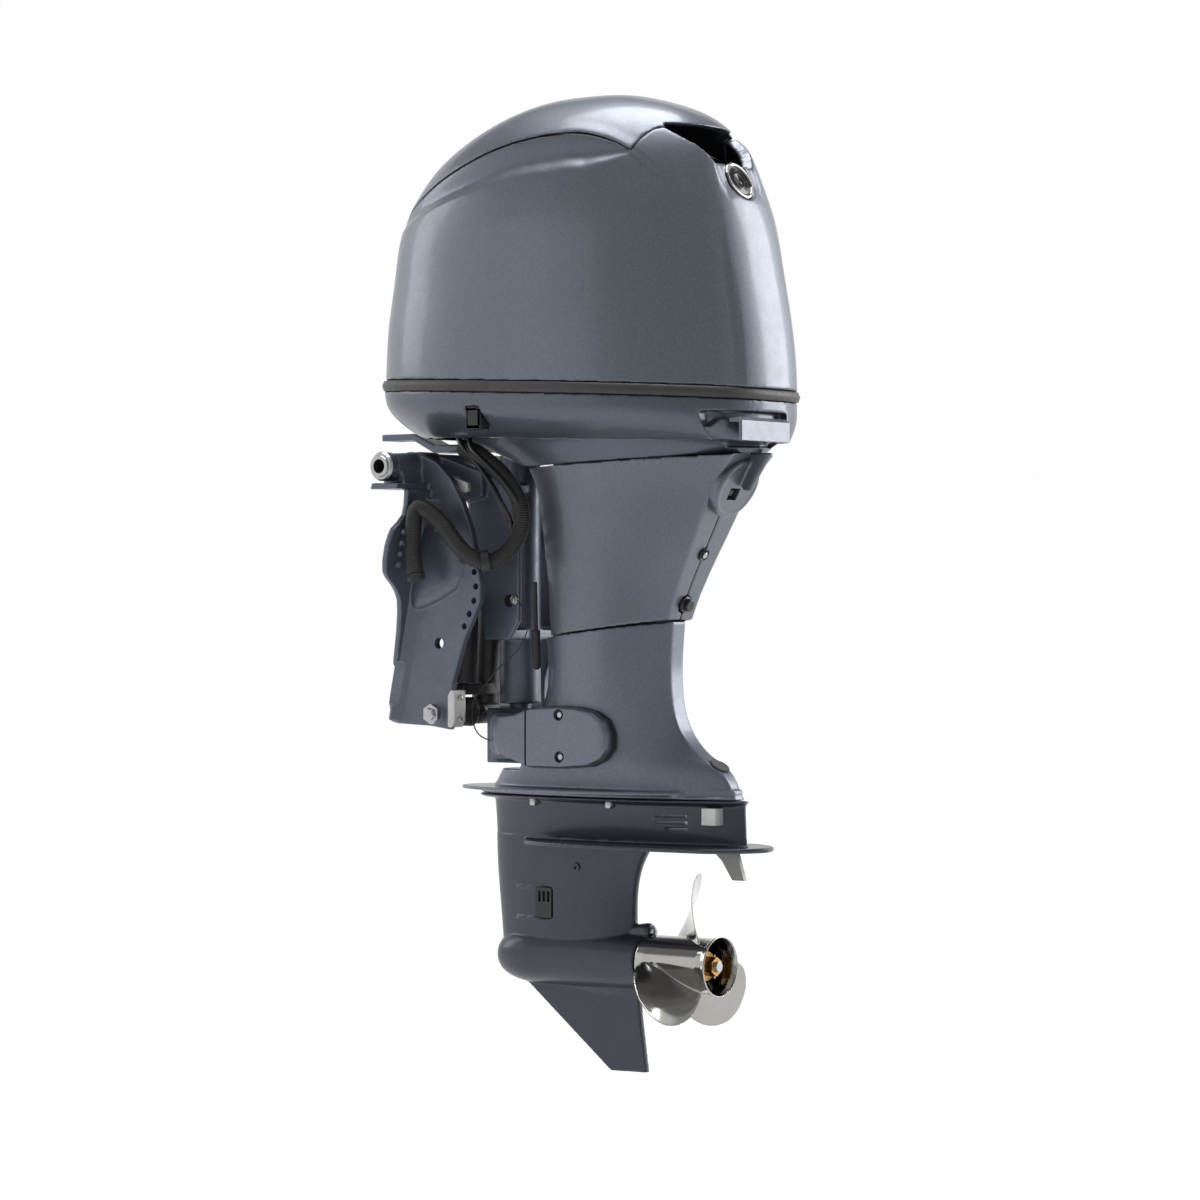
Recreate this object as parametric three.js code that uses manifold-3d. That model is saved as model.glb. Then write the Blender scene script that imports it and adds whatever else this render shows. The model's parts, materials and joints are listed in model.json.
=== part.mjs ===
// Outboard motor, millimetres. +Z up, +Y aft, +X port.
// The origin is where the transom's top edge meets its aft face, on the centre plane.
import * as THREE from 'three';
import { mergeVertices } from 'three/addons/utils/BufferGeometryUtils.js';
import Module from 'manifold-3d';

const wasm = await Module();
wasm.setup();

// ---------- driving dimensions ----------
const TRANSOM_ANGLE = THREE.MathUtils.degToRad(12);
const TILT_AXIS = { y: -29, z: 33 };
const STEER_Y = 85;
const DRIVE_Y = 180;
const SHIFT_Y = 128;
const PROP_Z = -681;
const WALL = 4;
const GAP = 0.4;

const BRACKET_INNER = 104;
const BRACKET_OUTER = 116;
const FLANGE_THICK = 12;
const BOSS_END = 165;
const UPPER_BOLT_X = 163.9;
const LOWER_BOLT_X = 125.4;
const BOLT_RADIUS = 6.5;
const SWIVEL_HALF = 60;
const SWIVEL_BOTTOM = -313;

const SEAM_SLOPE = 0.0454;
const SEAL_HEIGHT = 17;
const FLYWHEEL_RADIUS = 112;
const PINION_TEETH = 12;
const GEAR_TEETH = 28;
const PINION_PITCH = 14;
const GEAR_PITCH = PINION_PITCH * GEAR_TEETH / PINION_TEETH;
const TORPEDO_RADIUS = 41;
const HUB_RADIUS = 40;
const HUB_FRONT = 320;
const PROPELLER_PITCH = 430;
const RAKE = 0.1;
const HUB_LENGTH = 124;
const BLADE_TIP = 131;
const BLADES = 3;

// ---------- solids ----------
function toSolid(geometry) {
  const bare = geometry.clone();
  bare.deleteAttribute('normal');
  bare.deleteAttribute('uv');
  const merged = mergeVertices(bare, 1e-4);
  const mesh = new wasm.Mesh({
    numProp: 3,
    vertProperties: Float32Array.from(merged.attributes.position.array),
    triVerts: Uint32Array.from(merged.index.array),
  });
  const solid = new wasm.Manifold(mesh);
  if (solid.volume() > 0) return solid;
  const flipped = Uint32Array.from(merged.index.array);
  for (let i = 0; i < flipped.length; i += 3) [flipped[i], flipped[i + 1]] = [flipped[i + 1], flipped[i]];
  return new wasm.Manifold(new wasm.Mesh({
    numProp: 3,
    vertProperties: Float32Array.from(merged.attributes.position.array),
    triVerts: flipped,
  }));
}

function toGeometry(solid) {
  const mesh = solid.getMesh();
  const geometry = new THREE.BufferGeometry();
  geometry.setAttribute('position', new THREE.BufferAttribute(Float32Array.from(mesh.vertProperties), 3));
  geometry.setIndex(new THREE.BufferAttribute(Uint32Array.from(mesh.triVerts), 1));
  geometry.computeVertexNormals();
  return geometry;
}

const join = (first, ...others) => others.reduce((solid, other) => solid.add(other), first);
const cut = (first, ...others) => others.reduce((solid, other) => solid.subtract(other), first);
const keep = (first, ...others) => others.reduce((solid, other) => solid.intersect(other), first);

function block(x, y, z) {
  const geometry = new THREE.BoxGeometry(x[1] - x[0], y[1] - y[0], z[1] - z[0]);
  geometry.translate((x[0] + x[1]) / 2, (y[0] + y[1]) / 2, (z[0] + z[1]) / 2);
  return toSolid(geometry);
}

function bar(from, to, radius, sides = 12, endRadius = radius) {
  const start = new THREE.Vector3(...from);
  const along = new THREE.Vector3(...to).sub(start);
  const geometry = new THREE.CylinderGeometry(endRadius, radius, along.length(), sides);
  geometry.translate(0, along.length() / 2, 0);
  const turn = new THREE.Quaternion().setFromUnitVectors(new THREE.Vector3(0, 1, 0), along.normalize());
  geometry.applyQuaternion(turn);
  geometry.translate(start.x, start.y, start.z);
  return toSolid(geometry);
}

// A profile of [radius, height] pairs turned about Z, then laid along `axis` at `centre`.
function turned(profile, axis, centre, sides = 24) {
  const geometry = new THREE.LatheGeometry(profile.map(([r, h]) => new THREE.Vector2(r, h)), sides);
  const turn = new THREE.Quaternion().setFromUnitVectors(new THREE.Vector3(0, 1, 0), new THREE.Vector3(...axis));
  geometry.applyQuaternion(turn);
  geometry.translate(...centre);
  return toSolid(geometry);
}

function outline(points) {
  const shape = new THREE.Shape(points.map(([a, b]) => new THREE.Vector2(a, b)));
  shape.closePath();
  return shape;
}

// An outline of [y, z] points, from x[0] to x[1].
function sidePlate(points, x) {
  const shape = points instanceof THREE.Shape ? points : outline(points);
  const geometry = new THREE.ExtrudeGeometry(shape, { depth: x[1] - x[0], bevelEnabled: false, curveSegments: 8 });
  const place = new THREE.Matrix4().makeBasis(
    new THREE.Vector3(0, 1, 0), new THREE.Vector3(0, 0, 1), new THREE.Vector3(1, 0, 0));
  geometry.applyMatrix4(place);
  geometry.translate(x[0], 0, 0);
  return toSolid(geometry);
}

// An outline of [x, y] points, from z[0] to z[1].
function floorPlate(points, z) {
  const shape = points instanceof THREE.Shape ? points : outline(points);
  const geometry = new THREE.ExtrudeGeometry(shape, { depth: z[1] - z[0], bevelEnabled: false, curveSegments: 8 });
  geometry.translate(0, 0, z[0]);
  return toSolid(geometry);
}

function tube(points, radius, sides, steps) {
  const path = new THREE.CatmullRomCurve3(points.map((p) => new THREE.Vector3(...p)));
  const section = new THREE.Shape();
  for (let i = 0; i < sides; i++) {
    const angle = (i / sides) * 2 * Math.PI;
    const [a, b] = [radius * Math.cos(angle), radius * Math.sin(angle)];
    if (i) section.lineTo(a, b);
    else section.moveTo(a, b);
  }
  return toSolid(new THREE.ExtrudeGeometry(section, { steps, extrudePath: path, bevelEnabled: false }));
}

// A section with a flat aft face has its two aft corners at this angle and its mirror.
const FLAT_CORNER = THREE.MathUtils.degToRad(75);

function superPower(value, power) {
  return Math.sign(value) * Math.abs(value) ** power;
}

// One ring of a lofted body: a superellipse from `front` to `aft`, its height running from zFront to zAft.
// Its aft end narrows by the share `taper`, or ends in a flat face of half width `flat`.
function ring({ front, aft, half, zFront, zAft = zFront, power = 2.6, taper = 0, flat = 0 }, count = 24) {
  const centre = (front + aft) / 2;
  const reach = (aft - front) / 2;
  const points = [];
  for (let i = 0; i < count; i++) {
    const angle = (i / count) * 2 * Math.PI;
    const [side, end] = [Math.cos(angle), Math.sin(angle)];
    let along = superPower(end, 2 / power);
    let x = half * superPower(side, 2 / power) * (1 - taper * Math.max(along, 0) ** 2);
    if (flat && end > 0) {
      along = Math.min(end / Math.sin(FLAT_CORNER), 1);
      const onFace = along === 1;
      x = onFace ? flat * side / Math.cos(FLAT_CORNER) : Math.sign(side) * (half - (half - flat) * along ** 2);
    }
    const y = centre + reach * along;
    const z = zFront + (zAft - zFront) * (y - front) / (aft - front);
    points.push(new THREE.Vector3(x, y, z));
  }
  return points;
}

function loft(rings) {
  const count = rings[0].length;
  const positions = rings.flat().flatMap((p) => [p.x, p.y, p.z]);
  const index = [];
  for (let r = 0; r < rings.length - 1; r++) {
    for (let i = 0; i < count; i++) {
      const a = r * count + i;
      const b = r * count + (i + 1) % count;
      index.push(a, b, a + count, b, b + count, a + count);
    }
  }
  for (const [ringIndex, flip] of [[0, true], [rings.length - 1, false]]) {
    const middle = rings[ringIndex].reduce((sum, p) => sum.add(p), new THREE.Vector3()).divideScalar(count);
    const centre = positions.length / 3;
    positions.push(middle.x, middle.y, middle.z);
    for (let i = 0; i < count; i++) {
      const a = ringIndex * count + i;
      const b = ringIndex * count + (i + 1) % count;
      index.push(...(flip ? [b, a, centre] : [a, b, centre]));
    }
  }
  const geometry = new THREE.BufferGeometry();
  geometry.setAttribute('position', new THREE.Float32BufferAttribute(positions, 3));
  geometry.setIndex(index);
  return toSolid(geometry);
}

const inset = (station, by) => ({
  ...station,
  front: station.front + by,
  aft: station.aft - by,
  half: station.half - by,
  flat: station.flat ? station.flat - by : 0,
});

// ---------- materials ----------
const finish = (color, roughness, metalness) => new THREE.MeshStandardMaterial({ color, roughness, metalness });
const paint = finish(0x69707c, 0.35, 0.5);
const darkPaint = finish(0x555b66, 0.4, 0.5);
const blackPlastic = finish(0x1c1d20, 0.6, 0);
const rubber = finish(0x2a2a2b, 0.8, 0);
const steel = finish(0xb8bcc0, 0.25, 1);
const stainless = finish(0xd2d4d4, 0.12, 1);
const castAluminium = finish(0x9a9ca0, 0.5, 0.8);
const zinc = finish(0xc8c7c7, 0.6, 0.4);
const brass = finish(0xb08d4a, 0.35, 1);

const motor = new THREE.Group();

function add(name, solid, material) {
  const mesh = new THREE.Mesh(toGeometry(solid), material);
  mesh.name = name;
  motor.add(mesh);
}

// ---------- cowling ----------
const seamHeight = (y) => 156 - SEAM_SLOPE * (y + 117);

// Level sections from the seal up to the crown.
const COWL_STATIONS = [
  { z: 100, front: -118, aft: 534, half: 188 },
  { z: 170, front: -114, aft: 532, half: 187 },
  { z: 240, front: -110, aft: 524, half: 184 },
  { z: 310, front: -100, aft: 511, half: 178 },
  { z: 378, front: -88, aft: 495, half: 171 },
  { z: 430, front: -60, aft: 477, half: 159 },
  { z: 465, front: -31, aft: 463, half: 148 },
  { z: 500, front: 14, aft: 442, half: 131 },
  { z: 535, front: 79, aft: 397, half: 101 },
  { z: 552, front: 125, aft: 352, half: 75 },
  { z: 564, front: 178, aft: 298, half: 38 },
];

function cowlBody(offset) {
  const stations = COWL_STATIONS.map(({ z, front, aft, half }) => {
    const scale = Math.max((aft - front) / 652, 0.12);
    const drop = offset * (1.4 - scale * 0.4);
    return ring({ ...inset({ front, aft, half }, offset), zFront: z - drop });
  });
  return loft(stations);
}

function aboveSeam(offset) {
  const low = -200;
  const high = 620;
  return sidePlate([[low, seamHeight(low) + offset], [700, seamHeight(700) + offset], [700, high], [low, high]],
    [-260, 260]);
}

const COVER_SEAM = [
  [-200, 320], [-90, 380], [-16, 419], [35, 445], [95, 469], [147, 486], [198, 496], [250, 500.5],
  [300, 498], [331, 490], [355, 481], [378, 469], [398, 500], [424, 508], [470, 508],
];

function coverRegion(shrink) {
  const seam = COVER_SEAM.map(([y, z]) => [y - shrink, z + shrink]);
  return sidePlate([...seam, [470, 620], [-200, 620]], [-260, 260]);
}

// The opening is a wedge: wide under the cover's aft lip, narrow at its lower edge.
function intakeOpening() {
  const shape = outline([[-74, 508], [-25, 464], [25, 464], [74, 508]]);
  const geometry = new THREE.ExtrudeGeometry(shape, { depth: 150, bevelEnabled: false });
  geometry.rotateX(Math.PI / 2);
  geometry.translate(0, 520, 0);
  return toSolid(geometry);
}

function badge(radius, depth) {
  const lean = THREE.MathUtils.degToRad(26);
  const axis = [0, Math.cos(lean), Math.sin(lean)];
  return turned([[0, -depth], [radius, -depth], [radius, 2], [radius - 3, 3.5], [0, 3.5]], axis, [0, 474, 430]);
}

const shell = cut(cowlBody(0), cowlBody(WALL));
const intake = intakeOpening();
add('top_cowl', cut(keep(shell, aboveSeam(SEAL_HEIGHT / 2)), coverRegion(-GAP), intake, badge(27.4, 6)), paint);
add('cowl_badge', badge(27, 2), blackPlastic);
add('cowl_top_cover', cut(keep(shell, coverRegion(GAP)), intake), paint);

function intakeDuct() {
  const wedge = (grow, y) => [
    [-70 - grow, 503 + grow], [-24 - grow, 468 - grow], [24 + grow, 468 - grow], [70 + grow, 503 + grow],
  ].map(([x, z]) => new THREE.Vector3(x, y, z));
  const outer = loft([wedge(-1, 426), wedge(-6, 300)]);
  const inner = loft([wedge(-4, 440), wedge(-9, 304)]);
  return keep(cut(outer, inner), cowlBody(WALL + 2));
}
add('intake_duct', intakeDuct(), blackPlastic);

function seal() {
  const rim = { front: -119, aft: 536, half: 189.5 };
  const bandRing = (offset, height) => ring({
    ...inset(rim, offset), zFront: seamHeight(rim.front) + height, zAft: seamHeight(rim.aft) + height,
  });
  const half = SEAL_HEIGHT / 2 - GAP;
  return cut(loft([bandRing(0, -half), bandRing(-1.5, 0), bandRing(0, half)]),
    loft([bandRing(9, -20), bandRing(9, 20)]));
}
add('cowl_seal', seal(), rubber);

const LOWER_STATIONS = [
  { front: -117, aft: 533, half: 187, zFront: 156.4 - SEAL_HEIGHT / 2, zAft: 126.5 - SEAL_HEIGHT / 2 },
  { front: -112, aft: 534, half: 184, zFront: 124, zAft: 97 },
  { front: -92, aft: 535, half: 164, zFront: 99, zAft: 78 },
  { front: -20, aft: 536, half: 120, zFront: 80, zAft: 62, taper: 0.2 },
  { front: 92, aft: 512, half: 94, zFront: 28.4, zAft: 45.4, power: 2.4, taper: 0.3 },
];

function lowerCowl() {
  const outer = loft(LOWER_STATIONS.map((station) => ring(station)));
  const inner = loft(LOWER_STATIONS.map((station, i) => {
    const lift = i === LOWER_STATIONS.length - 1 ? WALL : (i === 0 ? 5 : 1);
    const inside = inset(station, WALL);
    return ring({ ...inside, zFront: station.zFront + lift, zAft: station.zAft + lift });
  }));
  const legWell = floorPlate([[-72, 40], [72, 40], [72, 400], [30, 490], [-30, 490], [-72, 400]], [0, 120]);
  const armRoom = block([-26, 26], [-40, 60], [40, 76]);
  const latchPocket = join(block([-36, 92], [516, 560], [52, 103]), block([91, 142], [488, 560], [52, 103]));
  const switchSeat = block([156, 200], [124, 152], [82, 116]);
  return cut(outer, inner, legWell, armRoom, latchPocket, switchSeat);
}
add('lower_cowl', lowerCowl(), paint);

add('latch_lever', sidePlate([[519, 92], [534, 93], [540, 88], [540, 60], [535, 60], [535, 86], [519, 86]],
  [-32, 88]), paint);

add('trim_switch', block([164, 180], [129, 147], [88, 110]), blackPlastic);

const LEG_SECTION = { power: 2.4 };
const APRON_STATIONS = [
  { ...LEG_SECTION, front: 92, aft: 500, half: 94, flat: 52, zFront: 27.5, zAft: 44 },
  { ...LEG_SECTION, front: 112, aft: 468, half: 85, flat: 48, zFront: 0, zAft: 3 },
  { ...LEG_SECTION, front: 130, aft: 430, half: 76, flat: 42, zFront: -70, zAft: -66 },
  { ...LEG_SECTION, front: 145, aft: 393, half: 70, flat: 34, zFront: -140, zAft: -140 },
  { ...LEG_SECTION, front: 152, aft: 374, half: 67, flat: 30, zFront: -216, zAft: -189.5 },
];

function apron() {
  const outer = loft(APRON_STATIONS.map((station) => ring(station)));
  const last = APRON_STATIONS.length - 1;
  const inner = loft(APRON_STATIONS.map((station, i) => {
    const beyond = i === 0 ? 2 : (i === last ? -2 : 0);
    return ring({ ...inset(station, WALL), zFront: station.zFront + beyond, zAft: station.zAft + beyond });
  }));
  const swivelRoom = bar([0, STEER_Y, -260], [0, STEER_Y, 80], 105, 40);
  const fittingHole = bar([0, 350, -158], [0, 400, -172], 13, 16);
  return cut(outer, inner, swivelRoom, fittingHole);
}
const apronShell = apron();
add('apron_port', keep(apronShell, block([GAP / 2, 200], [0, 600], [-300, 100])), paint);
add('apron_starboard', keep(apronShell, block([-200, -GAP / 2], [0, 600], [-300, 100])), paint);

add('flush_fitting', join(
  bar([0, 360, -161], [0, 384, -167.6], 12, 16),
  bar([0, 383, -167.3], [0, 392, -169.8], 9, 16)), blackPlastic);

// ---------- leg ----------
const HOUSING_STATIONS = [
  { ...LEG_SECTION, front: 152, aft: 372, half: 65, flat: 16, zFront: -217.8, zAft: -191.3 },
  { ...LEG_SECTION, front: 150, aft: 373, half: 61, flat: 16, zFront: -318 },
  { ...LEG_SECTION, front: 118, aft: 388, half: 58, flat: 16, zFront: -352 },
  { ...LEG_SECTION, front: 84, aft: 420, half: 57, flat: 15, zFront: -383 },
  { ...LEG_SECTION, front: 66, aft: 450, half: 56, flat: 14, zFront: -402 },
  { ...LEG_SECTION, front: 46, aft: 472, half: 54, flat: 12, zFront: -432 },
];

function exhaustHousing() {
  const body = loft(HOUSING_STATIONS.map((station) => ring(station)));
  const towerPlan = [[-30, 168], [30, 168], [50, 200], [50, 300], [35, 335], [-35, 335], [-50, 300], [-50, 200]];
  const tower = floorPlate(towerPlan, [-260, 58]);
  const bore = floorPlate(towerPlan.map(([x, y]) => [x * 0.84, 250 + (y - 250) * 0.88]), [-470, 80]);
  const splash = floorPlate(platePlan(-8, 417, 92), [-440, -432]);
  const lowerPlate = loft([
    ring({ ...LEG_SECTION, front: 44, aft: 476, half: 52, flat: 12, zFront: -444 }),
    ring({ ...LEG_SECTION, front: 46, aft: 474, half: 54, flat: 12, zFront: -430 }),
  ]);
  const swivelRoom = bar([0, STEER_Y, -315], [0, STEER_Y, 80], 66, 32);
  const yokeRoom = block([-43, 43], [20, 131], [-408, -300]);
  const shaftBore = bar([0, DRIVE_Y, -460], [0, DRIVE_Y, 80], 8.4, 16);
  return cut(join(body, tower, splash, lowerPlate), bore, swivelRoom, yokeRoom, shaftBore);
}

function platePlan(front, aft, half) {
  const shape = new THREE.Shape();
  const count = 28;
  for (let i = 0; i < count; i++) {
    const angle = (i / count) * 2 * Math.PI;
    const x = half * superPower(Math.cos(angle), 0.9);
    const y = (front + aft) / 2 + (aft - front) / 2 * superPower(Math.sin(angle), 0.9);
    if (i) shape.lineTo(x, y);
    else shape.moveTo(x, y);
  }
  return shape;
}
add('exhaust_housing', exhaustHousing(), paint);

function mountCover(side) {
  const face = [
    [82, -330], [92, -316], [285, -320], [298, -330], [300, -385], [290, -400], [200, -407], [90, -402],
    [82, -392],
  ];
  const plate = sidePlate(face, [60.5, 76]);
  const wrap = sidePlate([[82, -330], [92, -316], [130, -316], [130, -402], [90, -402], [82, -392]], [42, 76]);
  const clear = loft(HOUSING_STATIONS.map((station) => ring(inset(station, -GAP))));
  const port = cut(join(plate, wrap), clear);
  return side > 0 ? port : port.mirror([1, 0, 0]);
}
for (const [name, side] of [['port', 1], ['starboard', -1]]) {
  add(`lower_mount_cover_${name}`, mountCover(side), paint);
}

const panWalls = block([-29, 29], [204, 316], [-120, 40]);
const panRoom = block([-25, 25], [208, 312], [-116, 60]);
add('oil_pan', cut(panWalls, panRoom), castAluminium);

// ---------- gearcase ----------
const GEARCASE_STATIONS = [
  { front: 44, aft: 486, half: 52, zFront: -444.5, power: 2.4, taper: 0.62 },
  { front: 45, aft: 488, half: 43, zFront: -478, power: 2.3, taper: 0.6 },
  { front: 45, aft: 490, half: 35, zFront: -512, power: 2.2, taper: 0.6 },
];
const STRUT_STATIONS = [
  { front: 45, aft: 330, half: 34, zFront: -505, power: 2.2 },
  { front: 46, aft: 308, half: 32, zFront: -540, power: 2.2 },
  { front: 52, aft: 296, half: 30, zFront: -610, power: 2.2 },
  { front: 60, aft: 300, half: 32, zFront: -690, power: 2.2 },
];

const gearcaseTop = (offset) => loft(GEARCASE_STATIONS.map((station) => ring(inset(station, offset))));

function gearcase() {
  const top = gearcaseTop(0);
  const anodeSeats = cut(block([-60, 60], [433.6, 458.4], [-479.4, -454.6]), gearcaseTop(3 + GAP));
  const strut = loft(STRUT_STATIONS.map((station) => ring(station)));
  const plate = floorPlate(ventPlatePlan(), [-519, -507]);
  const torpedo = turned([
    [0, 53], [14, 55], [25, 62], [34, 78], [40, 104], [TORPEDO_RADIUS, 140], [TORPEDO_RADIUS, 270],
    [HUB_RADIUS, 318], [0, 318],
  ], [0, 1, 0], [0, 0, PROP_Z]);
  const skeg = sidePlate([[75, -705], [253, -841], [317, -840], [306, -760], [300, -700], [150, -690]], [-6, 6]);
  const driveBore = bar([0, DRIVE_Y, -430], [0, DRIVE_Y, PROP_Z], 20, 20);
  const pumpRoom = bar([0, DRIVE_Y, -500], [0, DRIVE_Y, -430], 33, 24);
  const rodBore = bar([0, SHIFT_Y, -430], [0, SHIFT_Y, PROP_Z], 7, 12);
  const gearRoom = bar([0, 108, PROP_Z], [0, 330, PROP_Z], GEAR_PITCH + 2, 32);
  const slots = [0, 1, 2].map((i) => block([-60, 60], [375, 401], [-469 - 8 * i, -465 - 8 * i]));
  const screwBores = [[152, -611], [446, -467]].map(([y, z]) => bar([-60, y, z], [60, y, z], 3, 10));
  const inlets = [1, -1].map((side) => block([Math.min(side * 24, side * 60), Math.max(side * 24, side * 60)],
    [138, 166], [-624, -579]));
  const casting = join(top, strut, plate, torpedo, skeg);
  const hollows = [driveBore, pumpRoom, rodBore, gearRoom, ...slots, ...inlets, ...screwBores, anodeSeats];
  return cut(casting, ...hollows);
}

function ventPlatePlan() {
  const shape = new THREE.Shape();
  shape.moveTo(34, 117);
  shape.quadraticCurveTo(84, 150, 85, 300);
  shape.lineTo(74, 460);
  shape.quadraticCurveTo(52, 515, 0, 524);
  shape.quadraticCurveTo(-52, 515, -74, 460);
  shape.lineTo(-85, 300);
  shape.quadraticCurveTo(-84, 150, -34, 117);
  return shape;
}
add('gearcase', gearcase(), darkPaint);

// The port and starboard grilles share one through screw, and so do the two anodes.
const throughScrew = (pair, at) => join(pair, bar([-30, ...at], [30, ...at], 2.5, 10));

function inletGrille() {
  const bars = [0, 1, 2].map((i) => block([20, 40], [142 + 8 * i, 146 + 8 * i], [-600, -585]));
  return cut(block([24.4, 31], [138.4, 165.6], [-623.6, -579.4]), ...bars);
}
const grille = inletGrille();
add('water_inlets', throughScrew(join(grille, grille.mirror([1, 0, 0])), [152, -611]), blackPlastic);

const anodePlates = cut(block([-34, 34], [434, 458], [-479, -455]), gearcaseTop(3));
add('side_anodes', throughScrew(anodePlates, [446, -467]), zinc);
add('trim_tab', sidePlate([[436, -519.4], [474, -519.4], [486, -557], [466, -557], [448, -530]], [-4, 4]), zinc);

// ---------- propeller and gears ----------
const ringAt = (inner, outer, from, to, sides = 20) => turned(
  [[inner, from], [outer, from], [outer, to], [inner, to], [inner, from]], [0, 1, 0], [0, 0, PROP_Z], sides);

function blade(angle) {
  const rings = [];
  const count = 12;
  for (const [radius, chord, thick, sweep] of [
    [34, 84, 9, 0], [60, 104, 7, 2], [90, 108, 5, 6], [115, 86, 3.5, 12], [BLADE_TIP, 30, 2, 20],
  ]) {
    const pitch = Math.atan2(PROPELLER_PITCH, 2 * Math.PI * radius * 1.15);
    const section = [];
    for (let i = 0; i < count; i++) {
      const turn = (i / count) * 2 * Math.PI;
      const along = chord / 2 * Math.cos(turn);
      const across = thick / 2 * Math.sin(turn);
      const around = along * Math.cos(pitch) - across * Math.sin(pitch);
      const aft = along * Math.sin(pitch) + across * Math.cos(pitch);
      const swing = (around - sweep) / radius;
      const y = 382 + aft + radius * RAKE;
      section.push(new THREE.Vector3(radius * Math.sin(swing), y, radius * Math.cos(swing)));
    }
    rings.push(section);
  }
  const turn = new THREE.Matrix4().makeRotationY(angle);
  const place = (p) => p.applyMatrix4(turn).add(new THREE.Vector3(0, 0, PROP_Z));
  return loft(rings.map((section) => section.map(place)));
}

function propeller() {
  const hub = turned([
    [22, HUB_FRONT], [HUB_RADIUS - 1, HUB_FRONT], [HUB_RADIUS, 380], [HUB_RADIUS, 430],
    [44, HUB_FRONT + HUB_LENGTH],
    [39, HUB_FRONT + HUB_LENGTH], [36, 428], [36, 334], [22, 334], [22, HUB_FRONT],
  ], [0, 1, 0], [0, 0, PROP_Z], 28);
  const blades = Array.from({ length: BLADES }, (_, i) => blade(i * 2 * Math.PI / BLADES));
  const bore = bar([0, 335, PROP_Z], [0, 470, PROP_Z], 35.5, 28);
  const spokes = Array.from({ length: BLADES }, (_, i) => {
    const angle = (i + 0.5) * 2 * Math.PI / BLADES;
    const [s, c] = [Math.sin(angle), Math.cos(angle)];
    return bar([20 * s, 375, PROP_Z + 20 * c], [37 * s, 375, PROP_Z + 37 * c], 5, 8);
  });
  const sleeve = ringAt(18, 22, 334, 414, 24);
  const frontRoom = bar([0, 300, PROP_Z], [0, 336, PROP_Z], 38, 24);
  return join(hub, cut(join(...blades), bore, frontRoom), sleeve, ...spokes);
}
add('propeller', propeller(), stainless);

add('hub_bush', ringAt(10.5, 17.6, 337, 412), rubber);

function propNut() {
  const washer = turned([[8, 416.5], [21, 416.5], [21, 420], [8, 420], [8, 416.5]], [0, 1, 0], [0, 0, PROP_Z], 28);
  const body = cut(turned([[0, 418.4], [14, 418.4], [14, 437], [0, 437]], [0, 1, 0], [0, 0, PROP_Z], 6),
    bar([0, 400, PROP_Z], [0, 450, PROP_Z], 8, 20));
  const notch = (angle) => {
    const [s, c] = [Math.sin(angle), Math.cos(angle)];
    return bar([20 * s, 433, PROP_Z + 20 * c], [-20 * s, 433, PROP_Z - 20 * c], 2.4, 8);
  };
  return join(washer, cut(body, notch(0), notch(Math.PI / 3), notch(2 * Math.PI / 3)));
}
add('prop_nut', propNut(), brass);
add('cotter_pin', bar([0, 433, PROP_Z - 17], [0, 433, PROP_Z + 17], 1.6, 8), steel);

function propShaft() {
  const body = turned([
    [0, 114], [9.5, 114], [10, 116], [10, 323], [20, 324], [20, 333.5], [10, 333.5], [10, 414], [7.5, 416],
    [7.5, 442], [0, 442]],
    [0, 1, 0], [0, 0, PROP_Z], 24);
  return cut(body, bar([0, 433, PROP_Z - 20], [0, 433, PROP_Z + 20], 2.1, 8));
}
add('prop_shaft', propShaft(), steel);

// A bevel gear about +Y with its pitch cone's apex at y = 0, before it is placed.
function bevelGear(teeth, pitchRadius, matePitch, width, bore, phase, sinks) {
  const steps = teeth * 2;
  const level = (radius, axial, toothed) => Array.from({ length: steps }, (_, i) => {
    const angle = (i / steps) * 2 * Math.PI + phase;
    const tip = toothed ? (i % 2 ? -1.6 : 0.8) : 0;
    const r = radius + (sinks ? 0 : tip);
    const a = axial - (sinks ? tip : 0);
    return new THREE.Vector3(r * Math.sin(angle), a, r * Math.cos(angle));
  });
  const inner = 0.7;
  const rings = [
    level(pitchRadius - 1, matePitch + width, false),
    level(pitchRadius - 0.2, matePitch + 1.6, false),
    level(pitchRadius - 0.3, matePitch, true),
    level(pitchRadius * inner, matePitch * inner, true),
    level(bore + 2.5, matePitch * inner + 0.8, false),
  ];
  return cut(loft(rings), bar([0, -80, 0], [0, 80, 0], bore, 20));
}
const gearPhase = Math.PI / GEAR_TEETH;
const forwardGear = bevelGear(GEAR_TEETH, GEAR_PITCH, PINION_PITCH, 14, 10.5, gearPhase, true);
add('forward_gear', forwardGear.mirror([0, 1, 0]).translate([0, DRIVE_Y, PROP_Z]), steel);
add('reverse_gear', forwardGear.translate([0, DRIVE_Y, PROP_Z]), steel);
const pinion = bevelGear(PINION_TEETH, PINION_PITCH, GEAR_PITCH, 10, 9.2, 0, false);
add('pinion_gear', pinion.rotate([90, 0, 0]).translate([0, DRIVE_Y, PROP_Z]), steel);
add('clutch_dog', ringAt(10.5, 16, DRIVE_Y - 9, DRIVE_Y - 1), steel);
add('bearing_carrier', ringAt(10.6, GEAR_PITCH + 1.5, 226, 316), castAluminium);

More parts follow.
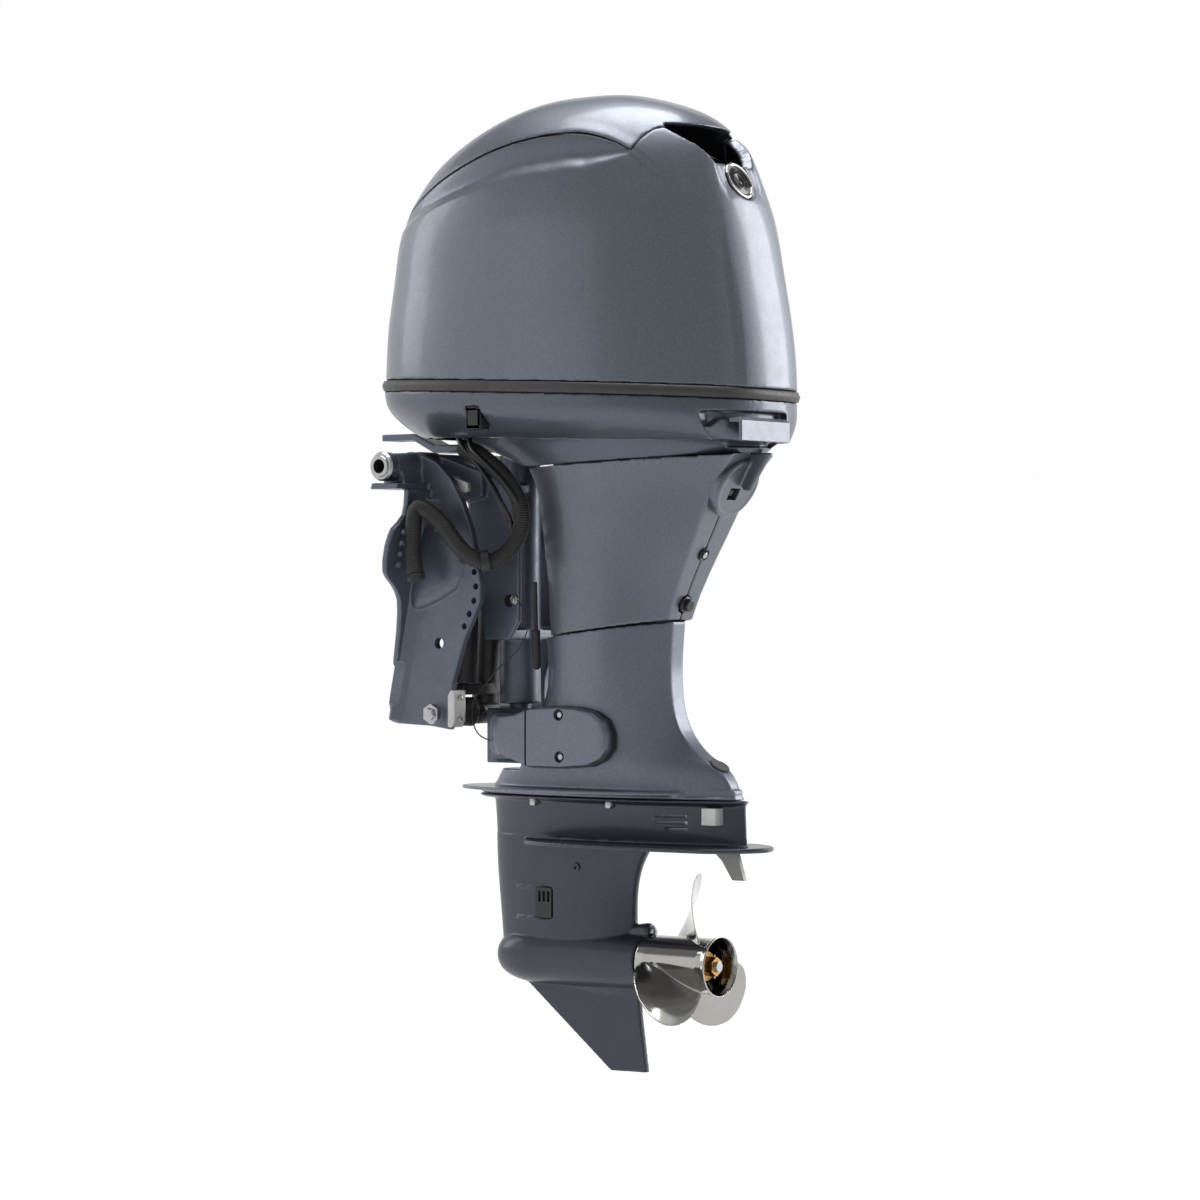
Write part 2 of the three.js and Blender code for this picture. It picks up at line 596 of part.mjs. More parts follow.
add('driveshaft', bar([0, DRIVE_Y, -655], [0, DRIVE_Y, 78], 7.5, 12), steel);
const ringOnDrive = (inner, outer, low, high, sides = 24) => turned(
  [[inner, low], [outer, low], [outer, high], [inner, high], [inner, low]], [0, 0, 1], [0, DRIVE_Y, 0], sides);
add('water_pump_housing', cut(
  ringOnDrive(9.5, 32.4, -498, -447), ringOnDrive(9, 25, -492, -462)), castAluminium);
function impeller() {
  const vane = (i) => {
    const angle = i * Math.PI / 3;
    const [s, c] = [Math.sin(angle), Math.cos(angle)];
    const plate = sidePlate([[10, -489], [23.5, -489], [23.5, -466], [10, -466]], [-1.5, 1.5]);
    return plate.rotate([0, 0, THREE.MathUtils.radToDeg(Math.atan2(s, c))]).translate([0, DRIVE_Y, 0]);
  };
  return join(ringOnDrive(9.2, 13, -489, -466), ...Array.from({ length: 6 }, (_, i) => vane(i)));
}
add('pump_impeller', impeller(), rubber);
const shiftRod = bar([0, SHIFT_Y, -640], [0, SHIFT_Y, -452], 4, 10);
const shiftCam = bar([0, SHIFT_Y, -652], [0, SHIFT_Y, -640], 6, 10);
add('shift_rod', join(shiftRod, shiftCam), steel);

// ---------- powerhead ----------
add('guide_plate', cut(floorPlate([[-66, 60], [66, 60], [66, 420], [-66, 420]], [71, 84]),
  bar([0, DRIVE_Y, 0], [0, DRIVE_Y, 100], 26, 24), block([-25, 25], [208, 312], [0, 100])), castAluminium);

function cylinderBlock() {
  const casting = block([-62, 62], [118, 330], [92, 372]);
  const crankRoom = bar([0, DRIVE_Y, 60], [0, DRIVE_Y, 400], 46, 24);
  const bores = Array.from({ length: 4 }, (_, i) => bar([0, 200, 130 + 68 * i], [0, 340, 130 + 68 * i], 31, 20));
  return cut(casting, crankRoom, ...bores);
}
add('cylinder_block', join(cylinderBlock(), block([-62, 62], [118, 330], [84.4, 92.4]).subtract(
  bar([0, DRIVE_Y, 60], [0, DRIVE_Y, 100], 26, 24))), castAluminium);
add('cylinder_head', block([-66, 66], [330.5, 392], [88, 376]), castAluminium);
add('head_cover', cut(block([-52, 52], [392.5, 440], [92, 372]), block([-48, 48], [380, 436], [96, 368])),
  blackPlastic);

function crankshaft() {
  const webs = Array.from({ length: 4 }, (_, i) => {
    const side = i === 0 || i === 3 ? 1 : -1;
    const pin = DRIVE_Y + side * 20;
    const z = 130 + 68 * i;
    return join(
      bar([0, DRIVE_Y, z - 22], [0, DRIVE_Y, z - 14], 38, 14),
      bar([0, DRIVE_Y, z + 14], [0, DRIVE_Y, z + 22], 38, 14),
      bar([0, pin, z - 15], [0, pin, z + 15], 16, 12));
  });
  const journals = [[80, 109], [151, 177], [219, 245], [287, 313], [355, 400]].map(([low, high]) =>
    bar([0, DRIVE_Y, low], [0, DRIVE_Y, high], 19, 12));
  return join(...webs, ...journals);
}
add('crankshaft', crankshaft(), steel);
add('flywheel', join(
  bar([0, DRIVE_Y, 416], [0, DRIVE_Y, 440], FLYWHEEL_RADIUS, 36),
  bar([0, DRIVE_Y, 400.4], [0, DRIVE_Y, 417], 30, 24),
  bar([0, DRIVE_Y, 439], [0, DRIVE_Y, 450], 18, 6)), steel);

const CAM_Y = 352;
add('camshaft', join(bar([0, CAM_Y, 377], [0, CAM_Y, 404], 12, 16), bar([0, CAM_Y, 386], [0, CAM_Y, 402], 44, 32)),
  steel);
function timingBelt() {
  const loop = (grow, low, high) => join(
    bar([0, CAM_Y, low], [0, CAM_Y, high], 44.6 + grow, 32),
    bar([0, DRIVE_Y, low], [0, DRIVE_Y, high], 22 + grow, 24),
    floorPlate([[-22 - grow, DRIVE_Y], [22 + grow, DRIVE_Y], [44.6 + grow, CAM_Y], [-44.6 - grow, CAM_Y]],
      [low, high]));
  return cut(loop(3, 387, 399), loop(0, 380, 408));
}
add('timing_belt', timingBelt(), rubber);

add('intake_manifold', join(
  block([70, 106], [76, 122], [200, 250]),
  bar([88, 98, 249], [88, 98, 262], 26, 20),
  block([70, 108], [120, 200], [110, 360]),
  ...Array.from({ length: 4 }, (_, i) => bar([85, 195, 136 + 64 * i], [82, 330, 136 + 64 * i], 15, 12))),
blackPlastic);
const starterBody = bar([-104, 150, 170], [-104, 150, 360], 32, 24);
const starterDrive = bar([-104, 150, 359], [-104, 150, 400], 12, 16);
add('starter_motor', join(starterBody, starterDrive), blackPlastic);
add('oil_filter', bar([-66.6, 260, 150], [-140, 260, 150], 36, 28), finish(0x2c3038, 0.4, 0.3));
add('control_box', block([-60, 60], [70, 116], [150, 330]), blackPlastic);

// ---------- steering ----------
const STEERING_ARM = [
  [110, 58], [110, 70], [-60, 70], [-100, 88], [-162, 88], [-162, 78], [-102, 78], [-62, 58],
];
add('steering_shaft', cut(join(
  bar([0, STEER_Y, -335], [0, STEER_Y, 70], 16, 24), sidePlate(STEERING_ARM, [-22, 22])),
bar([0, -140, 60], [0, -140, 100], 6, 12)), darkPaint);
add('leg_guard_bar', join(
  bar([52, 152, -135], [50, 154, -262], 3.6, 8), bar([51, 153, -205], [50, 154, -260], 6.5, 10)), blackPlastic);
add('lower_yoke', cut(join(
  block([-28, 28], [44, 128], [-400, -320]),
  block([-41, 41], [62, 128], [-395, -325])),
bar([0, STEER_Y, -340], [0, STEER_Y, -300], 16.4, 24)), darkPaint);

// ---------- swivel bracket ----------
function swivelBracket() {
  const side = [[34, 6], [114, 8], [128, -14], [128, -192], [110, -219], [64, -219], [52, -120], [34, -70]];
  const cheeks = [[-SWIVEL_HALF, -SWIVEL_HALF + 8], [SWIVEL_HALF - 8, SWIVEL_HALF]].map((x) => sidePlate(side, x));
  const post = bar([0, STEER_Y, SWIVEL_BOTTOM], [0, STEER_Y, 52], 30, 28);
  const webTop = block([-SWIVEL_HALF, SWIVEL_HALF], [60, 112], [-4, 8]);
  const webLow = block([-SWIVEL_HALF, SWIVEL_HALF], [66, 112], [-218, -204]);
  const ears = [[-100, -SWIVEL_HALF], [SWIVEL_HALF, 100]].map((x) => join(
    bar([x[0], TILT_AXIS.y, TILT_AXIS.z], [x[1], TILT_AXIS.y, TILT_AXIS.z], 24, 24),
    sidePlate([[TILT_AXIS.y, 12], [TILT_AXIS.y + 12, 54], [70, 26], [70, -10], [34, -18]],
      x[0] < 0 ? [-72, -52] : [52, 72])));
  const crossTube = bar([-100, TILT_AXIS.y, TILT_AXIS.z], [100, TILT_AXIS.y, TILT_AXIS.z], 22, 24);
  const bore = bar([-120, TILT_AXIS.y, TILT_AXIS.z], [120, TILT_AXIS.y, TILT_AXIS.z], 15.5, 24);
  const shaftBore = bar([0, STEER_Y, SWIVEL_BOTTOM - 5], [0, STEER_Y, 60], 16.6, 24);
  const pinBosses = [[-52, -24], [24, 52]].map((x) => bar([x[0], 36, -60], [x[1], 36, -60], 11, 16));
  return cut(join(...cheeks, post, webTop, webLow, ...ears, crossTube, ...pinBosses), bore, shaftBore);
}
add('swivel_bracket', swivelBracket(), darkPaint);
add('tilt_support_lever', join(
  bar([74, 27, 14], [104, 27, 14], 7, 14),
  sidePlate([[21, 8], [27, 22], [66, 10], [68, -2], [60, -4]], [94, 102])), zinc);

// ---------- transom brackets ----------
const faceY = (z) => z * Math.tan(TRANSOM_ANGLE);

function clampBracket() {
  const t = FLANGE_THICK / Math.cos(TRANSOM_ANGLE);
  const web = [
    [faceY(20) - 6, 20], [TILT_AXIS.y - 20, 44], [TILT_AXIS.y, 56], [TILT_AXIS.y + 20, 50], [60, 12], [74, -9],
    [92, -60], [96, -100], [98, -141], [82, -206], [44, -287], [46, -330], [36, -348], [20, -351], [-32, -340],
    [faceY(-338), -338], [0, 0],
  ];
  const flangePlan = [[20, 190], [-110, 192], [-126, 176], [-150, 150], [-249, 136], [-316, 134], [-338, 122]];
  const flange = sidePlate([[faceY(4), 4], [faceY(4) + t, 4], [faceY(-338) + t, -338], [faceY(-338), -338]],
    [BRACKET_INNER, 200]);
  const trimmer = toSolid(new THREE.ExtrudeGeometry(
    outline([[100, 30], ...flangePlan.map(([z, x]) => [x, z]), [100, -338]]), { depth: 300, bevelEnabled: false })
    .rotateX(Math.PI / 2).translate(0, 150, 0));
  const hook = sidePlate([[-46, 0], [4, 0], [8, 12], [-44, 12]], [BRACKET_INNER, 188]);
  const tiltBoss = bar([BRACKET_INNER, TILT_AXIS.y, TILT_AXIS.z], [BOSS_END, TILT_AXIS.y, TILT_AXIS.z], 23, 20);
  const raised = sidePlate([[0, -20], [50, -10], [78, -60], [80, -150], [40, -190], [8, -160]],
    [BRACKET_OUTER - 1, BRACKET_OUTER + 7]);
  const foot = bar([BRACKET_INNER, 18, -327], [BRACKET_OUTER + 3, 18, -327], 20, 24);
  const normal = [0, -Math.cos(TRANSOM_ANGLE), Math.sin(TRANSOM_ANGLE)];
  const through = (x, z) => {
    const [y, reach] = [faceY(z), 40];
    const ahead = [x, y + reach * normal[1], z + reach * normal[2]];
    const behind = [x, y - reach * normal[1], z - reach * normal[2]];
    return bar(behind, ahead, BOLT_RADIUS, 10);
  };
  const upperHoles = [-61, -77, -93, -109].map((z) => through(UPPER_BOLT_X, z));
  const slot = join(through(LOWER_BOLT_X, -249), through(LOWER_BOLT_X, -308),
    sidePlate([[-160, -249], [60, -249], [60, -308], [-160, -308]],
      [LOWER_BOLT_X - BOLT_RADIUS, LOWER_BOLT_X + BOLT_RADIUS]));
  const trimHoles = [[89, -120], [91, -141], [86, -162], [78, -181], [69, -199]].map(([y, z]) =>
    bar([90, y, z], [140, y, z], 4.8, 12));
  const bigHole = bar([90, 25, -224], [140, 25, -224], 9, 16);
  const tieBore = bar([90, 18, -327], [140, 18, -327], 8.4, 16);
  const tiltBore = bar([90, TILT_AXIS.y, TILT_AXIS.z], [180, TILT_AXIS.y, TILT_AXIS.z], 15.4, 24);
  const webPlate = sidePlate(web, [BRACKET_INNER, BRACKET_OUTER]);
  const body = join(webPlate, keep(flange, trimmer), hook, tiltBoss, raised, foot);
  const cornerRelief = bar([90, 0, 0], [210, 0, 0], 1.5, 12);
  return cut(body, ...upperHoles, slot, ...trimHoles, bigHole, tieBore, tiltBore, cornerRelief);
}
const portBracket = clampBracket();
add('clamp_bracket_port', portBracket, darkPaint);
add('clamp_bracket_starboard', portBracket.mirror([1, 0, 0]), darkPaint);

add('tilt_tube', cut(join(
  bar([-188, TILT_AXIS.y, TILT_AXIS.z], [188, TILT_AXIS.y, TILT_AXIS.z], 15, 24),
  bar([BOSS_END + 0.5, TILT_AXIS.y, TILT_AXIS.z], [184, TILT_AXIS.y, TILT_AXIS.z], 20.5, 16),
  bar([-184, TILT_AXIS.y, TILT_AXIS.z], [-BOSS_END - 0.5, TILT_AXIS.y, TILT_AXIS.z], 20.5, 16)),
bar([-200, TILT_AXIS.y, TILT_AXIS.z], [200, TILT_AXIS.y, TILT_AXIS.z], 9, 20)), steel);
add('tie_rod', join(bar([-132, 18, -327], [132, 18, -327], 8, 16), bar([120, 18, -327], [128, 18, -327], 15, 6),
  bar([-128, 18, -327], [-120, 18, -327], 15, 6)), steel);
add('bracket_anode', block([98, 124], [46.8, 60], [-346, -292]), zinc);

// ---------- power trim and tilt ----------
function trimCylinder() {
  const eye = turned([[8.4, -20], [17, -20], [17, 20], [8.4, 20], [8.4, -20]], [1, 0, 0], [0, 18, -327], 24);
  const barrel = bar([0, 18.9, -313], [0, 30, -148], 20, 20);
  const bore = bar([0, 19.8, -300], [0, 30.6, -140], 12.5, 20);
  const shelf = block([-78, 78], [4, 40], [-300, -284]);
  const reservoir = bar([-62, 22, -290], [-62, 26, -180], 20, 24);
  return cut(join(barrel, eye, shelf, reservoir), bore,
    bar([-40, 18, -327], [40, 18, -327], 8.4, 16));
}
add('trim_cylinder', trimCylinder(), blackPlastic);
add('trim_rod', join(bar([0, 20.3, -293], [0, 35.4, -69], 11, 16), cut(
  bar([-18, 36, -60], [18, 36, -60], 13, 16), bar([-30, 36, -60], [30, 36, -60], 6, 12))), steel);
add('trim_motor', bar([62, 22, -282.6], [62, 26, -150], 24, 24), blackPlastic);

// ---------- rigging hose ----------
const HOSE_RADIUS = 12.5;
const HOSE_POINTS = [
  [102, 60, 60], [113, 112, 40], [102, 153, -4], [100, 165, -46], [104, 150, -84], [124, 118, -106],
  [142, 96, -94], [152, 70, -62], [160, 42, -34], [165, 26, -28], [166, 18, -50], [165, 16, -92], [165, 22, -128],
];
add('rigging_hose', tube(HOSE_POINTS, HOSE_RADIUS, 8, 32), rubber);
const hoseClipBand = turned([[13.2, -6], [17, -6], [17, 6], [13.2, 6], [13.2, -6]], [0.57, -0.81, -0.15],
  [124, 118, -106], 20);
add('hose_clip', cut(
  join(bar([SWIVEL_HALF + GAP, 102, -105], [120, 102, -105], 5, 10), hoseClipBand),
  tube(HOSE_POINTS, HOSE_RADIUS + GAP, 8, 32)), blackPlastic);

export default motor;
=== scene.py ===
"""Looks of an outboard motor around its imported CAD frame. Lengths are metres, +Z up, +Y aft, +X port."""

import json
import math

import bmesh
import bpy
import numpy as np
from mathutils import Matrix, Vector

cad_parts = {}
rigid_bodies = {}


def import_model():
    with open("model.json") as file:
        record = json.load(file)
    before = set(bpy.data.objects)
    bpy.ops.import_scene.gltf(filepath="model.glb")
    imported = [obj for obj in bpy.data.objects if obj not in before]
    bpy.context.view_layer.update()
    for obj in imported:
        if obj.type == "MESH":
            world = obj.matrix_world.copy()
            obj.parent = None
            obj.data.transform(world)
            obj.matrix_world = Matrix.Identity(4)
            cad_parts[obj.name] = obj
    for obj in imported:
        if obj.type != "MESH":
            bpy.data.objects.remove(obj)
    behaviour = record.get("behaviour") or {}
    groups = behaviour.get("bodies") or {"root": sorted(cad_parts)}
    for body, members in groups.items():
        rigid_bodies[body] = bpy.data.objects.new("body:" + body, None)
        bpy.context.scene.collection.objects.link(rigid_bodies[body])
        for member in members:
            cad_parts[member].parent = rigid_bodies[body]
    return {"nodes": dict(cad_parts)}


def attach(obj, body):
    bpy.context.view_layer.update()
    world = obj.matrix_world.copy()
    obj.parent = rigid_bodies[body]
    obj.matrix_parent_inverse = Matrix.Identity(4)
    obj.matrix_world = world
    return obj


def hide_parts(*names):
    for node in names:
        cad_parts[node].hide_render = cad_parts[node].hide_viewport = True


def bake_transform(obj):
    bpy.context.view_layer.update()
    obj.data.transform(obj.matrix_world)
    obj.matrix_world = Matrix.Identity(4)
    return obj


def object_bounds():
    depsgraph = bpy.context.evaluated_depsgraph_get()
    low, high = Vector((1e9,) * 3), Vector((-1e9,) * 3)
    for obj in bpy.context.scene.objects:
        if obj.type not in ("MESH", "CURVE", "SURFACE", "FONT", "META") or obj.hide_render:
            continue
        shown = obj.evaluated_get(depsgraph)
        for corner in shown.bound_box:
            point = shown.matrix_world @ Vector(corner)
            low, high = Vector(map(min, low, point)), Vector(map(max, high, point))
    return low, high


for stray in list(bpy.data.objects):
    bpy.data.objects.remove(stray)

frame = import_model()
nodes = frame["nodes"]
cad_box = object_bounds()
scene = bpy.context.scene

# ---------- driving dimensions ----------
STEER_Y = 0.085
PROP_Z = -0.681
HOSE_RADIUS = 0.0125
SEAM_START = -0.117
SEAM_SLOPE = 0.0454
SEAL_HALF = 0.0085
TILT_AXIS = (-0.029, 0.033)
TRANSOM_LEAN = math.radians(12)
COWL_WALL = 0.009
BLADES = 3
BLADE_PITCH = 0.43

# ---------- camera ----------
CAMERA_AIM = Vector((0, 0.231, -0.161))
CAMERA_DISTANCE = 5.5
CAMERA_BEARING = math.radians(36.5)
camera = bpy.data.objects.new("camera", bpy.data.cameras.new("camera"))
scene.collection.objects.link(camera)
camera.data.lens = 113.8
camera.data.sensor_width = 36
camera.data.clip_end = 60
camera_back = Vector((math.cos(CAMERA_BEARING), math.sin(CAMERA_BEARING), 0))
camera.location = CAMERA_AIM + CAMERA_DISTANCE * camera_back
camera.rotation_mode = "QUATERNION"
camera.rotation_quaternion = (-camera_back).to_track_quat("-Z", "Y")
scene.camera = camera


# ---------- curves ----------
def mm(rows):
    """Rows of millimetres as tuples of metres."""
    return [tuple(value / 1000 for value in row) for row in rows]


def spline(points, count):
    """Natural cubic spline through points, by chord length, at count even steps of that length."""
    p = np.array(points, float)
    chord = np.concatenate([[0], np.cumsum(np.linalg.norm(np.diff(p, axis=0), axis=1))])
    h = np.diff(chord)
    n = len(p)
    system = np.eye(n)
    right = np.zeros_like(p)
    for i in range(1, n - 1):
        system[i, i - 1:i + 2] = h[i - 1], 2 * (h[i - 1] + h[i]), h[i]
        right[i] = 6 * ((p[i + 1] - p[i]) / h[i] - (p[i] - p[i - 1]) / h[i - 1])
    bend = np.linalg.solve(system, right)
    t = np.linspace(0, chord[-1], count)
    k = np.clip(np.searchsorted(chord, t, "right") - 1, 0, n - 2)
    low = (t - chord[k])[:, None]
    high = (chord[k + 1] - t)[:, None]
    width = h[k][:, None]
    return ((bend[k] * high ** 3 + bend[k + 1] * low ** 3) / (6 * width)
            + (p[k] / width - bend[k] * width / 6) * high
            + (p[k + 1] / width - bend[k + 1] * width / 6) * low)


def resample(points, count, closed=False):
    """The same polyline at count even steps."""
    p = np.array(points, float)
    if closed:
        p = np.vstack([p, p[:1]])
    chord = np.concatenate([[0], np.cumsum(np.linalg.norm(np.diff(p, axis=0), axis=1))])
    t = np.linspace(0, chord[-1], count, endpoint=not closed)
    return np.stack([np.interp(t, chord, p[:, i]) for i in range(p.shape[1])], axis=1)


FLAT_CORNER = math.radians(75)


def power_of(value, power):
    return np.sign(value) * np.abs(value) ** power


def section(front, aft, half, z_front, z_aft, power=2.6, taper=0.0, flat=0.0, count=160):
    """A closed plan section on a sloping plane: a superellipse, whose aft end narrows by taper or ends in a
    flat face of half width flat."""
    angle = np.linspace(0, 2 * math.pi, 1440, endpoint=False)
    along = power_of(np.sin(angle), 2 / power)
    x = half * power_of(np.cos(angle), 2 / power) * (1 - taper * np.maximum(along, 0) ** 2)
    if flat:
        aft_half = np.sin(angle) > 0
        straight = np.minimum(np.sin(angle) / math.sin(FLAT_CORNER), 1)
        side = np.sign(np.cos(angle)) * (half - (half - flat) * straight ** 2)
        face = flat * np.cos(angle) / math.cos(FLAT_CORNER)
        x = np.where(aft_half, np.where(straight < 1, side, face), x)
        along = np.where(aft_half, straight, along)
    y = (front + aft) / 2 + (aft - front) / 2 * along
    z = z_front + (z_aft - z_front) * (y - front) / max(aft - front, 1e-6)
    return resample(np.stack([x, y, z], axis=1), count, closed=True)


def smooth(value, low, high):
    t = np.clip((value - low) / (high - low), 0, 1)
    return t * t * (3 - 2 * t)


# ---------- solids ----------
def weld(target, distance=1e-5):
    """Merges points closer than distance and turns every face outward."""
    work = bmesh.new()
    work.from_mesh(target.data)
    if distance:
        bmesh.ops.remove_doubles(work, verts=work.verts, dist=distance)
    bmesh.ops.recalc_face_normals(work, faces=work.faces)
    work.to_mesh(target.data)
    work.free()
    return target


def linked(name, data):
    made = bpy.data.objects.new(name, data)
    scene.collection.objects.link(made)
    return made


def new_object(name, vertices, faces):
    mesh = bpy.data.meshes.new(name)
    mesh.from_pydata([tuple(v) for v in vertices], [], faces)
    mesh.validate()
    return weld(linked(name, mesh), distance=0)


def loft(name, rings, loop=False):
    """A closed skin over rings of equal point count, capped at both ends unless the rings form a loop."""
    count = len(rings[0])
    total = len(rings)
    vertices = np.concatenate([np.asarray(r, float) for r in rings])
    faces = []
    for r in range(total if loop else total - 1):
        below, above = r * count, (r + 1) % total * count
        for i in range(count):
            j = (i + 1) % count
            faces.append((below + i, below + j, above + j, above + i))
    if not loop:
        faces.append(tuple(range(count))[::-1])
        faces.append(tuple(range((total - 1) * count, total * count)))
    return new_object(name, vertices, faces)


def prism(name, points, low, high, axis=0):
    """An outline extruded along one axis: its points are the other two coordinates in order."""
    ring = np.asarray(points, float)
    return loft(name, [np.insert(ring, axis, level, axis=1) for level in (low, high)])


def rectangle(a, b):
    return [(a[0], b[0]), (a[1], b[0]), (a[1], b[1]), (a[0], b[1])]


def box(name, x, y, z):
    return prism(name, rectangle(x, y), *z, axis=2)


def across(direction):
    """Two unit vectors square to a direction."""
    d = Vector(direction).normalized()
    first = d.orthogonal().normalized()
    return first, d.cross(first)


def lathe(name, profile, centre, direction, sides):
    """A closed profile of (radius, distance) turned about a line."""
    d = Vector(direction).normalized()
    u, v = across(d)
    rings = []
    for i in range(sides):
        angle = 2 * math.pi * i / sides
        out = u * math.cos(angle) + v * math.sin(angle)
        rings.append([Vector(centre) + out * r + d * h for r, h in profile])
    return weld(loft(name, rings, loop=True))


def turned(name, profile, centre, direction, sides):
    """A lathed piece with smooth shading."""
    made = lathe(name, profile, centre, direction, sides)
    made.data.shade_smooth()
    return made


def circle(centre, u, v, radius, sides):
    turns = [2 * math.pi * i / sides for i in range(sides)]
    return [centre + u * (radius * math.cos(a)) + v * (radius * math.sin(a)) for a in turns]


def rod(name, start, end, radius, sides, end_radius=None):
    start, end = Vector(start), Vector(end)
    u, v = across(end - start)
    end_radius = radius if end_radius is None else end_radius
    return loft(name, [circle(start, u, v, radius, sides), circle(end, u, v, end_radius, sides)])


def side_rod(name, side, x, at, radius, sides, end_radius=None):
    """A rod along X on one side of the motor, over the range x, with its axis at (y, z)."""
    return rod(name, (side * x[0], *at), (side * x[1], *at), radius, sides, end_radius)


def span(side, low, high):
    return sorted((side * low, side * high))


def sweep(name, path, radii, sides):
    """A round tube along a path, with one radius per path point and no twist."""
    path = np.asarray(path, float)
    tangents = np.gradient(path, axis=0)
    tangents /= np.linalg.norm(tangents, axis=1)[:, None]
    side = np.array(Vector(tangents[0]).orthogonal().normalized())
    turns = np.linspace(0, 2 * math.pi, sides, endpoint=False)
    rings = []
    for p, t, r in zip(path, tangents, radii):
        side = side - t * (side @ t)
        side /= np.linalg.norm(side)
        other = np.cross(t, side)
        rings.append(p + r * (np.cos(turns)[:, None] * side + np.sin(turns)[:, None] * other))
    return loft(name, rings)


def settle(target):
    """Applies every modifier of target to its mesh."""
    evaluated = target.evaluated_get(bpy.context.evaluated_depsgraph_get())
    mesh = bpy.data.meshes.new_from_object(evaluated)
    target.modifiers.clear()
    target.data = mesh
    return target


def combine(target, operation, tools):
    """Boolean of target with each tool; the tools are used up."""
    for tool in tools:
        step = target.modifiers.new("step", "BOOLEAN")
        step.operation = operation
        step.solver = "MANIFOLD"
        step.object = tool
        settle(target)
        bpy.data.objects.remove(tool)
    return target


def cut(target, *tools):
    return combine(target, "DIFFERENCE", tools)


def join(target, *tools):
    return combine(target, "UNION", tools)


def keep(target, *tools):
    return combine(target, "INTERSECT", tools)


def cast(target, voxel, passes):
    """Rounds every edge and inner corner of target, as a casting or moulding has."""
    remesh = target.modifiers.new("remesh", "REMESH")
    remesh.mode = "VOXEL"
    remesh.voxel_size = voxel
    remesh.use_smooth_shade = True
    ease = target.modifiers.new("ease", "SMOOTH")
    ease.factor = 0.5
    ease.iterations = passes
    settle(target)
    target.data.shade_smooth()
    return target


def bevel_step(target, width, angle):
    step = target.modifiers.new("bevel", "BEVEL")
    step.width = width
    step.segments = 2
    step.limit_method = "ANGLE"
    step.angle_limit = math.radians(angle)


def bevel(target, width):
    bevel_step(target, width, 35)
    settle(target)
    target.data.shade_smooth()
    target.data.set_sharp_from_angle(angle=math.radians(40))
    return target


def bolt(name, body, at, direction, radius, height, washer=0.0, material=None):
    """A hexagon head with a chamfer, on a washer where one is asked for, seated at a point."""
    at, out = Vector(at), Vector(direction).normalized()
    u, v = across(out)
    head = loft(name, [circle(at + out * level, u, v, r, 6)
                       for level, r in ((-0.002, radius), (height * 0.8, radius), (height, radius * 0.82))])
    if washer:
        join(head, rod("washer", at - out * 0.002, at + out * 0.0022, washer, 40))
    bevel(head, 0.0004)
    place(head, body, material or STEEL, "steel")


def copy_of(node, name):
    """A free copy of a CAD node's mesh, welded into closed solids."""
    made = linked(name, nodes[node].data.copy())
    made.data.materials.clear()
    return weld(made)


def copy_object(source):
    made = source.copy()
    made.data = source.data.copy()
    scene.collection.objects.link(made)
    return made


def place(piece, body, material, slot, *stands_for):
    piece.data.materials.clear()
    piece.data.materials.append(material)
    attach(piece, body)
    if stands_for:
        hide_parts(*stands_for)
    return piece


# ---------- materials ----------
def linear(red, green, blue):
    def one(channel):
        c = channel / 255
        return c / 12.92 if c <= 0.04045 else ((c + 0.055) / 1.055) ** 2.4
    return one(red), one(green), one(blue), 1.0


